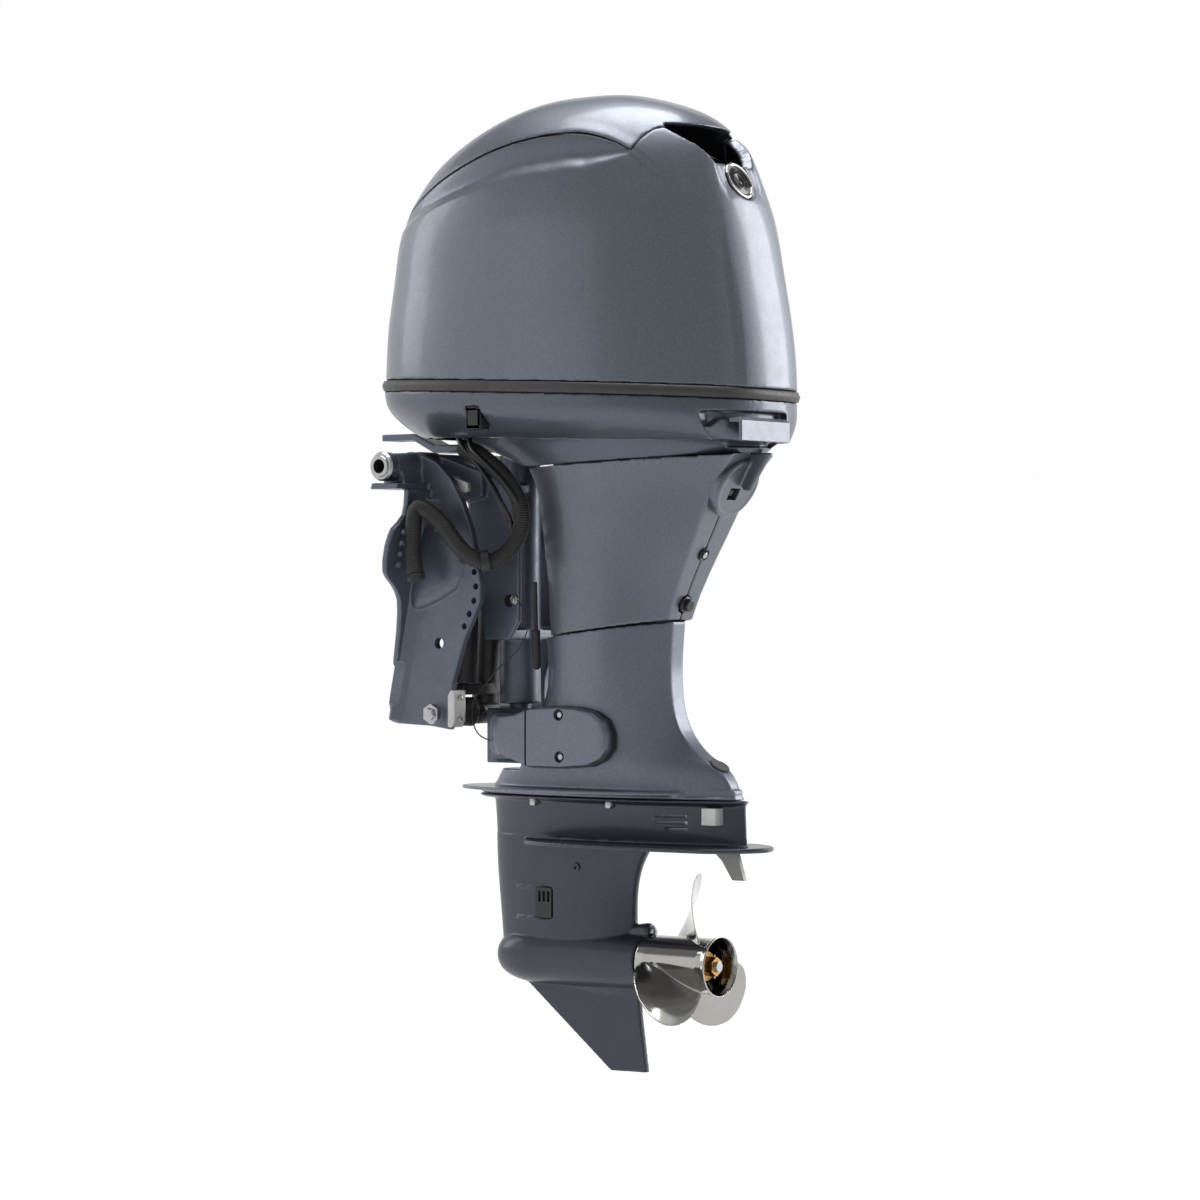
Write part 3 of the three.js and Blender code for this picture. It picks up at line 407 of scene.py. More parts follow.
class Finish:
    """A Principled material with procedural variation in object space."""

    def __init__(self, name, colour, roughness, metallic=0.0, coat=0.0, coat_roughness=0.1):
        self.material = bpy.data.materials.new(name)
        self.material.use_nodes = True
        self.tree = self.material.node_tree
        self.shader = self.tree.nodes["Principled BSDF"]
        self.colour = linear(*colour)
        self.place = self.tree.nodes.new("ShaderNodeTexCoord").outputs["Object"]
        self.set("Base Color", self.colour)
        self.set("Roughness", roughness)
        self.set("Metallic", metallic)
        self.set("Coat Weight", coat)
        self.set("Coat Roughness", coat_roughness)
        self.tint = None
        self.height = None

    def set(self, socket, value):
        self.shader.inputs[socket].default_value = value

    def link(self, output, target):
        self.tree.links.new(output, target)

    def stretched(self, scale):
        mapping = self.tree.nodes.new("ShaderNodeMapping")
        mapping.inputs["Scale"].default_value = scale
        self.link(self.place, mapping.inputs["Vector"])
        return mapping.outputs["Vector"]

    def noise(self, scale, detail, stretch=None):
        node = self.tree.nodes.new("ShaderNodeTexNoise")
        node.inputs["Scale"].default_value = scale
        node.inputs["Detail"].default_value = detail
        self.link(self.stretched(stretch) if stretch else self.place, node.inputs["Vector"])
        return node.outputs["Fac"]

    def cells(self, scale):
        node = self.tree.nodes.new("ShaderNodeTexVoronoi")
        node.inputs["Scale"].default_value = scale
        self.link(self.place, node.inputs["Vector"])
        split = self.tree.nodes.new("ShaderNodeSeparateColor")
        self.link(node.outputs["Color"], split.inputs["Color"])
        return split.outputs["Red"]

    def ranged(self, value, low, high, new_low, new_high):
        node = self.tree.nodes.new("ShaderNodeMapRange")
        limits = {"From Min": low, "From Max": high, "To Min": new_low, "To Max": new_high}
        for socket, number in limits.items():
            node.inputs[socket].default_value = number
        self.link(value, node.inputs["Value"])
        return node.outputs["Result"]

    def shade(self, value, dark, light, low=0.3, high=0.7):
        """Multiplies the colour by dark…light as value goes low…high."""
        mix = self.tree.nodes.new("ShaderNodeMix")
        mix.data_type = "RGBA"
        mix.blend_type = "MULTIPLY"
        mix.inputs["Factor"].default_value = 1
        if self.tint is None:
            mix.inputs["A"].default_value = self.colour
        else:
            self.link(self.tint, mix.inputs["A"])
        grey = self.tree.nodes.new("ShaderNodeCombineColor")
        level = self.ranged(value, low, high, dark, light)
        for channel in ("Red", "Green", "Blue"):
            self.link(level, grey.inputs[channel])
        self.link(grey.outputs["Color"], mix.inputs["B"])
        self.tint = mix.outputs["Result"]
        self.link(self.tint, self.shader.inputs["Base Color"])
        return self

    def gloss(self, value, low, high):
        self.link(self.ranged(value, 0.3, 0.7, low, high), self.shader.inputs["Roughness"])
        return self

    def bump(self, value, depth):
        node = self.tree.nodes.new("ShaderNodeBump")
        node.inputs["Strength"].default_value = 1
        node.inputs["Distance"].default_value = depth
        self.link(value, node.inputs["Height"])
        if self.height is not None:
            self.link(self.height, node.inputs["Normal"])
        self.height = node.outputs["Normal"]
        self.link(self.height, self.shader.inputs["Normal"])
        return self


def flake_paint(name, colour, metallic, roughness):
    """Blue-grey metallic lacquer: fine flake under a clear coat."""
    made = Finish(name, colour, roughness, metallic, coat=0.35, coat_roughness=0.12)
    made.shade(made.cells(900), 0.86, 1.16, 0, 1)
    made.shade(made.noise(5, 2), 0.97, 1.03)
    made.gloss(made.noise(60, 2), roughness - 0.03, roughness + 0.03)
    made.bump(made.noise(700, 2), 0.00003)
    return made.material


def cast_metal(name, colour, metallic, roughness):
    """A sand-cast or die-cast surface."""
    made = Finish(name, colour, roughness, metallic, coat=0.15, coat_roughness=0.25)
    made.shade(made.noise(400, 4), 0.9, 1.08)
    made.shade(made.noise(12, 3), 0.93, 1.05)
    made.gloss(made.noise(90, 3), roughness - 0.06, roughness + 0.08)
    made.bump(made.noise(650, 3), 0.00012)
    return made.material


def plastic(name, colour, roughness, depth=0.00008):
    made = Finish(name, colour, roughness)
    made.shade(made.noise(40, 3), 0.9, 1.12)
    made.gloss(made.noise(150, 3), roughness - 0.08, roughness + 0.08)
    made.bump(made.noise(1100, 2), depth)
    return made.material


def bright_metal(name, colour, roughness, stretch=(1, 1, 1), depth=0.00001):
    """Polished or turned metal with fine tool marks along one direction."""
    made = Finish(name, colour, roughness, 1.0)
    made.shade(made.noise(30, 3), 0.93, 1.03)
    marks = made.noise(600, 3, stretch)
    made.gloss(marks, roughness * 0.8, roughness * 1.5)
    made.bump(marks, depth)
    return made.material


PAINT = flake_paint("cowl_lacquer", (100, 105, 115), 0.7, 0.4)
# The lower cowl's lacquer is the cowl paint made darker: painted shade for the shadow the lower cowl sits in
# under the top cowl.
SHADED_LOWER_PAINT = flake_paint("lower_cowl_lacquer_painted_shade", (84, 89, 100), 0.68, 0.42)
LEG_PAINT = flake_paint("leg_lacquer", (104, 109, 121), 0.66, 0.42)
# The gearcase's lacquer is the leg paint made much darker: painted shade for the low gearcase and plugs,
# which little light reaches from below.
SHADED_GEARCASE_PAINT = flake_paint("gearcase_lacquer_painted_shade", (53, 58, 67), 0.62, 0.42)
BRACKET_PAINT = cast_metal("bracket_lacquer", (94, 100, 113), 0.55, 0.42)
BLACK = plastic("moulded_black", (34, 35, 38), 0.5)
SATIN_BLACK = plastic("satin_black", (22, 23, 26), 0.34, 0.00003)
RUBBER = plastic("soft_rubber", (40, 40, 40), 0.68, 0.00012)
SEAL_RUBBER = plastic("seal_rubber", (52, 52, 52), 0.5, 0.00006)
HOSE_RUBBER = plastic("hose_sleeve", (38, 38, 38), 0.55, 0.00006)
STEEL = bright_metal("zinced_steel", (178, 180, 182), 0.3)
STAINLESS = bright_metal("polished_stainless", (172, 171, 167), 0.1, (1, 0.15, 1), 0.000004)
ALUMINIUM = cast_metal("cast_aluminium", (168, 169, 170), 0.9, 0.42)
ZINC = cast_metal("sacrificial_zinc", (196, 195, 194), 0.5, 0.5)
TAB_ZINC = cast_metal("weathered_zinc", (128, 127, 125), 0.55, 0.5)
BRASS = bright_metal("turned_brass", (196, 152, 88), 0.24)
BADGE = plastic("badge_black", (26, 27, 30), 0.2, 0.00001)

# ---------- rigging hose ----------
HOSE_POINTS = mm([
    (102, 60, 60), (113, 112, 40), (102, 153, -4), (100, 165, -46),
    (104, 150, -84), (124, 118, -106), (142, 96, -94), (152, 70, -62),
    (160, 42, -34), (165, 26, -28), (166, 18, -50), (165, 16, -92),
    (165, 22, -128),
])
SLEEVE_PITCH = 0.0031
SLEEVE_DEPTH = 0.0006


def path_length(path):
    return float(np.linalg.norm(np.diff(path, axis=0), axis=1).sum())


def rigging_hose():
    rough = spline(HOSE_POINTS, 900)
    length = path_length(rough)
    path = resample(rough, 860)
    along = np.linspace(0, length, len(path))
    radii = HOSE_RADIUS + SLEEVE_DEPTH * np.cos(2 * math.pi * along / SLEEVE_PITCH) - SLEEVE_DEPTH
    hose = sweep("rigging_hose_sleeve", path, radii, 28)
    hose.data.shade_smooth()
    end = Vector(path[-1])
    heading = (end - Vector(path[-6])).normalized()
    cap = turned("rigging_hose_end_cap", [
        (0.0001, -0.004), (0.0132, -0.004), (0.0134, 0.0), (0.0128, 0.0035), (0.009, 0.0056), (0.0001, 0.006),
    ], end, heading, 40)
    hose.data.materials.append(HOSE_RUBBER)
    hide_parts("rigging_hose")
    place(cap, "swivel", RUBBER, "rubber")
    return hose


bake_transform(rigging_hose())


def lead(name, points, radius, material):
    """A thin cable from the motor to the swivel bracket, both of whose ends go into the object."""
    path = resample(spline(points, 300), 180)
    tube = sweep(name, path, np.full(len(path), radius), 14)
    tube.data.shade_smooth()
    tube.data.materials.append(material)
    return tube


LEAD_ROUTES = [
    mm([(100, 50, 90), (112, 60, 72), (119, 91, 42), (120, 119, 12),
     (116, 138, -18), (106, 147, -42), (88, 142, -66), (64, 128, -78)]),
    mm([(104, 72, 84), (120, 88, 60), (127, 110, 44), (125, 138, 20),
     (116, 158, -6), (104, 166, -34), (88, 158, -62), (64, 136, -82)]),
    mm([(92, 44, 92), (104, 52, 74), (110, 76, 50), (108, 102, 22),
     (100, 120, -8), (88, 126, -36), (64, 120, -52)]),
]
for lead_number, route in enumerate(LEAD_ROUTES):
    cable = lead(f"control_cable_{lead_number}", route, 0.0038, SATIN_BLACK)
    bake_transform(cable)
ground_wire = lead("ground_wire", mm([
    (74, 88, -366), (80, 72, -358), (78, 58, -338),
    (76, 57, -312), (74, 74, -288), (72, 104, -258), (71, 138, -230),
    (70, 152, -202), (68, 146, -178), (64, 130, -162), (60, 124, -160),
]), 0.001, BLACK)
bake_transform(ground_wire)

# ---------- stage and lights ----------
FLOOR_Z = cad_box[0].z - 0.012
FLOOR_RADIUS = 9
WALL_CURVE = 3
STAGE_SIDES = 96


def stage():
    """A pale floor that curves up into a pale backdrop and glows: painted light, bright under the motor and
    dimming smoothly behind the camera.
    """
    profile = [(r, FLOOR_Z) for r in np.linspace(0.02, FLOOR_RADIUS, 12)]
    profile += [(FLOOR_RADIUS + WALL_CURVE * math.sin(a), FLOOR_Z + WALL_CURVE * (1 - math.cos(a)))
                for a in np.linspace(0.1, math.pi / 2, 10)]
    profile.append((FLOOR_RADIUS + WALL_CURVE, 7))
    count = len(profile)
    turns = [2 * math.pi * i / STAGE_SIDES for i in range(STAGE_SIDES)]
    vertices = [(r * math.cos(a), r * math.sin(a), z) for a in turns for r, z in profile]
    faces = []
    for i in range(STAGE_SIDES):
        here, beside = i * count, (i + 1) % STAGE_SIDES * count
        faces += [(here + k, beside + k, beside + k + 1, here + k + 1) for k in range(count - 1)]
    faces.append(tuple(i * count for i in range(STAGE_SIDES)))
    floor = new_object("studio_floor", vertices, faces)
    floor.data.shade_smooth()
    pale = Finish("studio_pale", (250, 250, 250), 0.9)
    split = pale.tree.nodes.new("ShaderNodeVectorMath")
    split.operation = "DOT_PRODUCT"
    split.inputs[1].default_value = tuple(camera_back)
    pale.link(pale.place, split.inputs[0])
    # The floor's glow is painted light: it lights the motor from below and dims away behind the camera.
    glow = pale.ranged(split.outputs["Value"], 0.9, 2.6, 0.9, 0.42)
    pale.link(glow, pale.shader.inputs["Emission Strength"])
    pale.set("Emission Color", (1, 1, 1, 1))
    pale.set("Base Color", (0.12, 0.12, 0.12, 1))
    floor.data.materials.append(pale.material)


def softbox(name, location, size, power):
    light = bpy.data.lights.new(name, "AREA")
    light.shape = "RECTANGLE"
    light.size, light.size_y = size
    light.energy = power
    holder = linked(name, light)
    holder.location = location
    holder.rotation_mode = "QUATERNION"
    holder.rotation_quaternion = (CAMERA_AIM - Vector(location)).to_track_quat("-Z", "Y")


stage()
softbox("overhead", (-0.2, 0.0, 4.0), (3.2, 3.2), 235)
softbox("aft_starboard", (-3.6, 2.6, 1.2), (1.6, 3.4), 110)
softbox("front_left", (1.2, -4.2, 1.8), (1.6, 2.6), 34)
softbox("side_fill", (4.4, -2.4, 0.6), (2.8, 3.2), 15)
world = bpy.data.worlds.new("studio")
scene.world = world
world.use_nodes = True
world.node_tree.nodes["Background"].inputs["Color"].default_value = (1, 1, 1, 1)
world.node_tree.nodes["Background"].inputs["Strength"].default_value = 0.25
scene.view_settings.view_transform = "Standard"

# ---------- cowl ----------
COWL_STATIONS = mm([  # height, front, aft, half width
    (100, -118, 534, 188), (170, -114, 532, 187), (240, -110, 524, 184),
    (310, -100, 511, 178), (378, -88, 495, 171), (430, -60, 477, 159),
    (465, -31, 463, 148), (500, 14, 442, 131), (535, 79, 397, 101),
    (552, 125, 352, 75), (564, 178, 298, 38), (566, 232, 244, 6),
])
COVER_SEAM = mm([
    (-200, 320), (-90, 380), (-16, 419), (35, 445), (95, 469), (147, 486),
    (198, 496), (250, 500.5), (300, 498), (331, 490), (355, 481), (378, 469),
])
LIP = mm([(388, 488), (398, 500), (424, 508), (470, 508)])
DECK_HALF = 0.07
COVER_GAP = 0.0008
COWL_LENGTH = 0.652
FINE, COARSE = (220, 150), (96, 60)  # points round a cowl ring, number of rings
BADGE_LEAN = math.radians(26)
BADGE_AXIS = Vector((0, math.cos(BADGE_LEAN), math.sin(BADGE_LEAN)))
BADGE_CENTRE = Vector((0, 0.474, 0.43))
seam_line = spline(COVER_SEAM, 120)


def seam_height(y):
    return 0.156 - SEAM_SLOPE * (y - SEAM_START)


def seam_at(y):
    """Height of the cover's lower edge over the side of the cowl."""
    return np.interp(y, seam_line[:, 0], seam_line[:, 1])


def cowl_rings(offset, count, rows):
    """The cowl's plan sections, moved inward by offset."""
    stations = spline(COWL_STATIONS, rows)
    rings = []
    for z, front, aft, half in stations:
        size = max((aft - front) / COWL_LENGTH, 0.12)
        drop = offset * (1.4 - size * 0.4)
        front, aft = front + offset, max(aft - offset, front + offset + 0.002)
        rings.append(section(front, aft, max(half - offset, 0.001), z - drop, z - drop, count=count))
    return rings


def pushed(target, distance):
    """Moves each vertex along its normal by distance(x, y, z)."""
    mesh = target.data
    points = np.zeros(len(mesh.vertices) * 3, np.float32)
    mesh.vertices.foreach_get("co", points)
    points = points.reshape(-1, 3)
    normals = np.zeros(len(mesh.vertices) * 3, np.float32)
    mesh.vertex_normals.foreach_get("vector", normals)
    normals = normals.reshape(-1, 3)
    moved = points + normals * distance(*points.T)[:, None]
    mesh.vertices.foreach_set("co", moved.astype(np.float32).ravel())
    mesh.update()
    return target


BAND_WIDTHS = np.array(mm([  # y, width of the band pressed in under the cover's edge
    (-100, 4), (-50, 16), (30, 34), (120, 46), (250, 48), (310, 42),
    (345, 26), (366, 12), (378, 3),
]))
BAND_WIDEST = 0.048
BAND_DEPTH = 0.008
DECK_RISE = 0.0042
SHOULDER_RISE = 0.0036
INTAKE_HOLLOW = 0.026
SHOULDER = np.array(mm([  # y, height of the crease that sweeps from the cover's corner down to the deck
    (505, 250), (486, 320), (466, 372), (432, 424), (400, 452), (378, 469),
]))


def deck_edge(x, y):
    """1 on the flat deck down the cowl's aft end, 0 beside it."""
    return (1 - smooth(np.abs(x), DECK_HALF - 0.006, DECK_HALF + 0.003)) * smooth(y, 0.36, 0.4)


def cowl_relief(x, y, z):
    """The pressed band with its shoulder, the aft deck, and the hollow that leads into the air intake."""
    below = seam_at(y) - z
    width = np.interp(y, BAND_WIDTHS[:, 0], BAND_WIDTHS[:, 1])
    share = below / width
    band = smooth(share, -0.1, 0.72) * (1 - smooth(share, 0.7, 1.25)) * width / BAND_WIDEST * (y < 0.38)
    hollow = 0.004 * smooth(z, 0.395, 0.43) + INTAKE_HOLLOW * smooth(z, 0.452, 0.464)
    reach = 0.05 + 0.04 * smooth(z, 0.455, 0.508)
    hollow = hollow * (1 - smooth(np.abs(x), reach - 0.01, reach)) * smooth(y, 0.3, 0.36)
    crease = np.interp(z, SHOULDER[:, 1], SHOULDER[:, 0])
    shoulder = smooth(y - crease, -0.004, 0.005) * smooth(z, 0.27, 0.4) * (1 - deck_edge(x, y))
    return DECK_RISE * deck_edge(x, y) + SHOULDER_RISE * shoulder - BAND_DEPTH * band - hollow


def cover_relief(_, y, z):
    """The cover's lower edge flares out along the side."""
    above = z - seam_at(y)
    flare = (1 - smooth(above, 0.0, 0.02)) * smooth(y, 0.02, 0.3) * (y < 0.4)
    return 0.0022 * flare


def cover_region(shrink):
    seam = [(y - shrink, z + shrink) for y, z in [*seam_line, *LIP]]
    return prism("cover_region", [*seam, (0.47 - shrink, 0.62), (-0.2, 0.62)], -0.26, 0.26)


def intake_opening(grow=0.0):
    port = [(0.045 + grow, 0.461 - grow), (0.086 + grow, 0.509 + grow)]
    starboard = [(-x, z) for x, z in reversed(port)]
    return prism("intake_opening", starboard + port, 0.37, 0.52, axis=1)


def intake_duct():
    """The open box behind the air intake, closed toward the bow."""
    duct = intake_opening(0.003)
    hollow = intake_opening(0.0005)
    hollow.data.transform(Matrix.Translation((0, 0.004, 0)))
    cut(duct, hollow)
    keep(duct, loft("inside", cowl_rings(0.032, *COARSE)))
    bevel(duct, 0.0005)
    place(duct, "cowl", BLACK, "black_plastic", "intake_duct")


def top_cowl():
    cowl = pushed(loft("top_cowl_shell", cowl_rings(0, *FINE)), cowl_relief)
    low = prism("below_seam", [(-0.2, -0.1), (0.7, -0.1), (0.7, seam_height(0.7) + SEAL_HALF),
                               (-0.2, seam_height(-0.2) + SEAL_HALF)], -0.26, 0.26)
    badge_seat = rod("badge_seat", BADGE_CENTRE - 0.004 * BADGE_AXIS, BADGE_CENTRE + 0.03 * BADGE_AXIS,
                     0.0302, 64)
    cut(cowl, loft("inside", cowl_rings(COWL_WALL, *COARSE)), low, cover_region(-COVER_GAP), intake_opening(),
        badge_seat)
    cast(cowl, 0.0022, 3)
    place(cowl, "cowl", PAINT, "paint", "top_cowl")
    cover = pushed(loft("top_cover_shell", cowl_rings(0, *FINE)), cover_relief)
    cut(cover, loft("inside", cowl_rings(COWL_WALL, *COARSE)))
    keep(cover, cover_region(COVER_GAP))
    cut(cover, intake_opening())
    cast(cover, 0.0022, 3)
    place(cover, "cowl", PAINT, "paint", "cowl_top_cover")


SEAL_PROFILE = mm([  # distance inward, height
    (3.5, -7.8), (1, -7.2), (0, -4.5), (-1.2, -1), (-1.4, 1.2), (0, 4.5),
    (1, 7.2), (3.5, 7.8), (12, 7.8), (12, -7.8),
])


def cowl_seal():
    rings = []
    for offset, height in SEAL_PROFILE:
        front, aft, half = -0.119 + offset, 0.536 - offset, 0.1895 - offset
        z_front, z_aft = seam_height(front) + height, seam_height(aft) + height
        rings.append(section(front, aft, half, z_front, z_aft, count=200))
    seal = loft("cowl_seal_band", rings, loop=True)
    seal.data.shade_smooth()
    place(seal, "cowl", SEAL_RUBBER, "rubber", "cowl_seal")


def badge():
    """A blank round badge: a polished ring round a dark dished plate with one raised ring."""
    plate = turned("badge_plate", [
        (0.0001, -0.002), (0.029, -0.002), (0.0296, 0.0006), (0.0288, 0.0024), (0.024, 0.0018),
        (0.013, 0.001), (0.0122, 0.002), (0.0108, 0.002), (0.01, 0.001), (0.0001, 0.0016),
    ], BADGE_CENTRE, BADGE_AXIS, 96)
    place(plate, "cowl", BADGE, "black_plastic", "cowl_badge")
    rim = turned("badge_ring", [
        (0.0236, 0.0014), (0.0286, 0.002), (0.0288, 0.0032), (0.0276, 0.0041), (0.0246, 0.004),
        (0.0235, 0.003),
    ], BADGE_CENTRE, BADGE_AXIS, 96)
    place(rim, "cowl", STAINLESS, "stainless")


def cowl_screws():
    for i, (y, z) in enumerate(((0.5245, 0.185), (0.5275, 0.161))):
        screw = turned(f"cowl_screw_{i}", [
            (0.0001, -0.004), (0.0052, -0.004), (0.0056, 0.003), (0.0048, 0.0042), (0.003, 0.0042),
            (0.0028, 0.002), (0.0001, 0.002),
        ], (0, y, z), (0, 1, 0.08), 32)
        place(screw, "cowl", SATIN_BLACK, "black_plastic")


top_cowl()
cowl_seal()
intake_duct()
badge()
cowl_screws()

# ---------- lower cowl and leg ----------
def station_table(rows):
    """Plan sections of a shell from the top down, for shell_rings: front, aft, half width, z front, z aft and
    flat are millimetres; power and taper, before flat, are plain numbers."""
    return [(*mm([row[:5]])[0], *row[5:7], row[7] / 1000) for row in rows]


LOWER_STATIONS = station_table([
    (-117, 533, 187, 147.9, 118, 2.6, 0, 0), (-112, 534, 184, 124, 97, 2.6, 0, 0),
    (-92, 535, 164, 99, 78, 2.6, 0, 0), (-20, 536, 120, 80, 62, 2.6, 0.2, 0),
    (92, 512, 94, 28.4, 45.4, 2.4, 0.3, 0),
])
APRON_STATIONS = station_table([
    (92, 500, 94, 27.5, 44, 2.4, 0, 52), (112, 468, 85, 0, 3, 2.4, 0, 48),
    (130, 430, 76, -70, -66, 2.4, 0, 42), (145, 393, 70, -140, -140, 2.4, 0, 34),
    (152, 374, 67, -216, -189.5, 2.4, 0, 30),
])
HOUSING_STATIONS = station_table([
    (149, 372, 65, -217.8, -191.3, 2.4, 0, 16), (139, 373, 61, -318, -318, 2.4, 0, 16),
    (114, 388, 58, -352, -352, 2.4, 0, 16), (84, 420, 57, -383, -383, 2.4, 0, 15),
    (66, 450, 56, -402, -402, 2.4, 0, 14), (46, 472, 54, -432, -432, 2.4, 0, 12),
])
GEARCASE_STATIONS = station_table([
    (44, 486, 52, -444.5, -444.5, 2.4, 0.62, 0), (45, 488, 43, -478, -478, 2.3, 0.6, 0),
    (45, 490, 35, -512, -512, 2.2, 0.6, 0),
])
STRUT_STATIONS = station_table([
    (45, 330, 34, -505, -505, 2.2, 0, 0), (46, 308, 32, -540, -540, 2.2, 0, 0),
    (52, 296, 30, -610, -610, 2.2, 0, 0), (60, 300, 32, -690, -690, 2.2, 0, 0),
])


def shell_rings(stations, rows, count, inset=0.0, over=0.0):
    """Fine rings through a table of stations; over lengthens both ends upward and downward."""
    table = spline(stations, rows)
    table[:, 0] += inset
    table[:, 1] -= inset
    table[:, 2] -= inset
    table[0, 3:5] += over
    table[-1, 3:5] -= over
    return [section(f, a, h, zf, za, power, max(taper, 0), max(flat, 0), count)
            for f, a, h, zf, za, power, taper, flat in table]


LEG_WELL = mm([(-72, 40), (72, 40), (72, 400), (30, 490), (-30, 490), (-72, 400)])
LATCH_STEP = mm([(80, 54), (139, 54), (139, 80), (98, 80), (92, 90), (80, 90)])


def lower_skin(name, inset):
    return loft(name, shell_rings(LOWER_STATIONS, 60, 160, inset))


def lower_cowl():
    body = loft("lower_cowl_shell", shell_rings(LOWER_STATIONS, 60, 200))
    inside = loft("inside", shell_rings(LOWER_STATIONS, 30, 96, inset=0.006, over=0.004))
    leg_well = prism("leg_well", LEG_WELL, 0, 0.12, axis=2)
    arm_room = box("arm_room", (-0.026, 0.026), (-0.04, 0.06), (0.04, 0.076))
    switch = box("switch_seat", (0.156, 0.2), (0.124, 0.152), (0.082, 0.116))
    cut(body, inside, leg_well, arm_room, switch)
    join(body, keep(lower_skin("liner", 0.005), box("cup", (-0.044, 0.15), (0.47, 0.56), (0.046, 0.109))))
    pocket = box("latch_pocket", (-0.036, 0.142), (0.488, 0.56), (0.053, 0.102))
    cut(body, cut(pocket, lower_skin("skin", 0.013)))
    cast(body, 0.002, 3)
    place(body, "motor", SHADED_LOWER_PAINT, "paint", "lower_cowl")
    step = lower_skin("latch_step", 0.003)
    keep(step, prism("outline", LATCH_STEP, 0.47, 0.56, axis=1))
    cut(step, lower_skin("behind", 0.0145))
    cast(step, 0.0012, 3)
    place(step, "motor", SHADED_LOWER_PAINT, "paint")
    bezel = prism("trim_switch_bezel", rectangle((0.1245, 0.1515), (0.0825, 0.1155)), 0.158, 0.1785)
    cut(bezel, prism("seat", rectangle((0.1268, 0.1492), (0.0852, 0.1128)), 0.15, 0.2))
    bevel(bezel, 0.0012)
    place(bezel, "motor", SATIN_BLACK, "black_plastic")


def aprons():
    for name, x in (("port", (0.0005, 0.2)), ("starboard", (-0.2, -0.0005))):
        body = loft(f"apron_{name}_shell", shell_rings(APRON_STATIONS, 60, 160))
        inside = loft("inside", shell_rings(APRON_STATIONS, 40, 96, inset=0.005, over=0.004))
        swivel_room = rod("room", (0, STEER_Y, -0.26), (0, STEER_Y, 0.08), 0.105, 96)
        fitting = rod("hole", (0, 0.35, -0.158), (0, 0.4, -0.172), 0.013, 32)
        cut(body, inside, swivel_room, fitting)
        keep(body, box("half", x, (0, 0.6), (-0.3, 0.1)))
        cast(body, 0.002, 3)
        place(body, "motor", PAINT, "paint", f"apron_{name}")


PAD_AXIS = Vector((0, 0.874, -0.486)).normalized()
PAD_CENTRE = Vector((0.004, 0.474, -0.004))


def apron_details():
    """The round pad under the latch with its bolt pocket, the fin above it and the lower fixing bolt."""
    pad = lathe("apron_pad", [
        (0.0001, -0.03), (0.044, -0.03), (0.0465, 0.0), (0.044, 0.003), (0.0395, 0.0036),
        (0.0385, 0.0024), (0.0001, 0.0024),
    ], PAD_CENTRE, PAD_AXIS, 96)
    keep(pad, box("clip", (-0.06, 0.06), (0.4, 0.53), (-0.06, 0.04)))
    fin = prism("fin", [(0.486, 0.046), (0.532, 0.0455), (0.52, 0.029), (0.507, 0.01), (0.496, -0.008),
                        (0.484, -0.006), (0.47, 0.02)], -0.0035, 0.0035)
    join(pad, fin)
    cut(pad, loft("inside", shell_rings(APRON_STATIONS, 40, 96, inset=0.003, over=0.004)))
    cast(pad, 0.0014, 5)
    up = PAD_AXIS.cross(Vector((1, 0, 0))).normalized()
    pocket_at = Vector((0.01, 0.472, -0.012))
    corners = rectangle((-0.0115, 0.0115), (-0.0095, 0.0095))

    def pocket_block(name, low, high):
        return loft(name, [[pocket_at + Vector((a, 0, 0)) + up * b + PAD_AXIS * level for a, b in corners]
                           for level in (low, high)])

    cut(pad, pocket_block("pocket", -0.012, 0.02))
    place(pad, "motor", PAINT, "paint")
    place(pocket_block("pad_pocket_floor", -0.0135, -0.0115), "motor", BLACK, "black_plastic")
    bolt("pad_bolt", "motor", pocket_at - PAD_AXIS * 0.011, PAD_AXIS, 0.0062, 0.0075, material=SATIN_BLACK)
    lower_axis = Vector((0, 0.872, -0.49)).normalized()
    lower_at = Vector((0.002, 0.4165, -0.097))
    ring = turned("apron_bolt_seat", [
        (0.0001, -0.003), (0.0095, -0.003), (0.0098, 0.0012), (0.0086, 0.0016), (0.008, -0.0006),
        (0.0001, -0.0006),
    ], lower_at, lower_axis, 40)
    place(ring, "motor", SATIN_BLACK, "black_plastic")
    bolt("apron_bolt", "motor", lower_at, lower_axis, 0.0052, 0.003, material=STEEL)


def plate_plan(front, aft, half):
    """The plan of the splash plate: an oval a little fuller than an ellipse."""
    angle = np.linspace(0, 2 * math.pi, 96, endpoint=False)
    x = half * power_of(np.cos(angle), 0.9)
    y = (front + aft) / 2 + (aft - front) / 2 * power_of(np.sin(angle), 0.9)
    return np.stack([x, y], axis=1)


GRILLE_AT = Vector((0, 0.443, -0.3945))
GRILLE_OUT = Vector((0, 0.53, 0.85)).normalized()


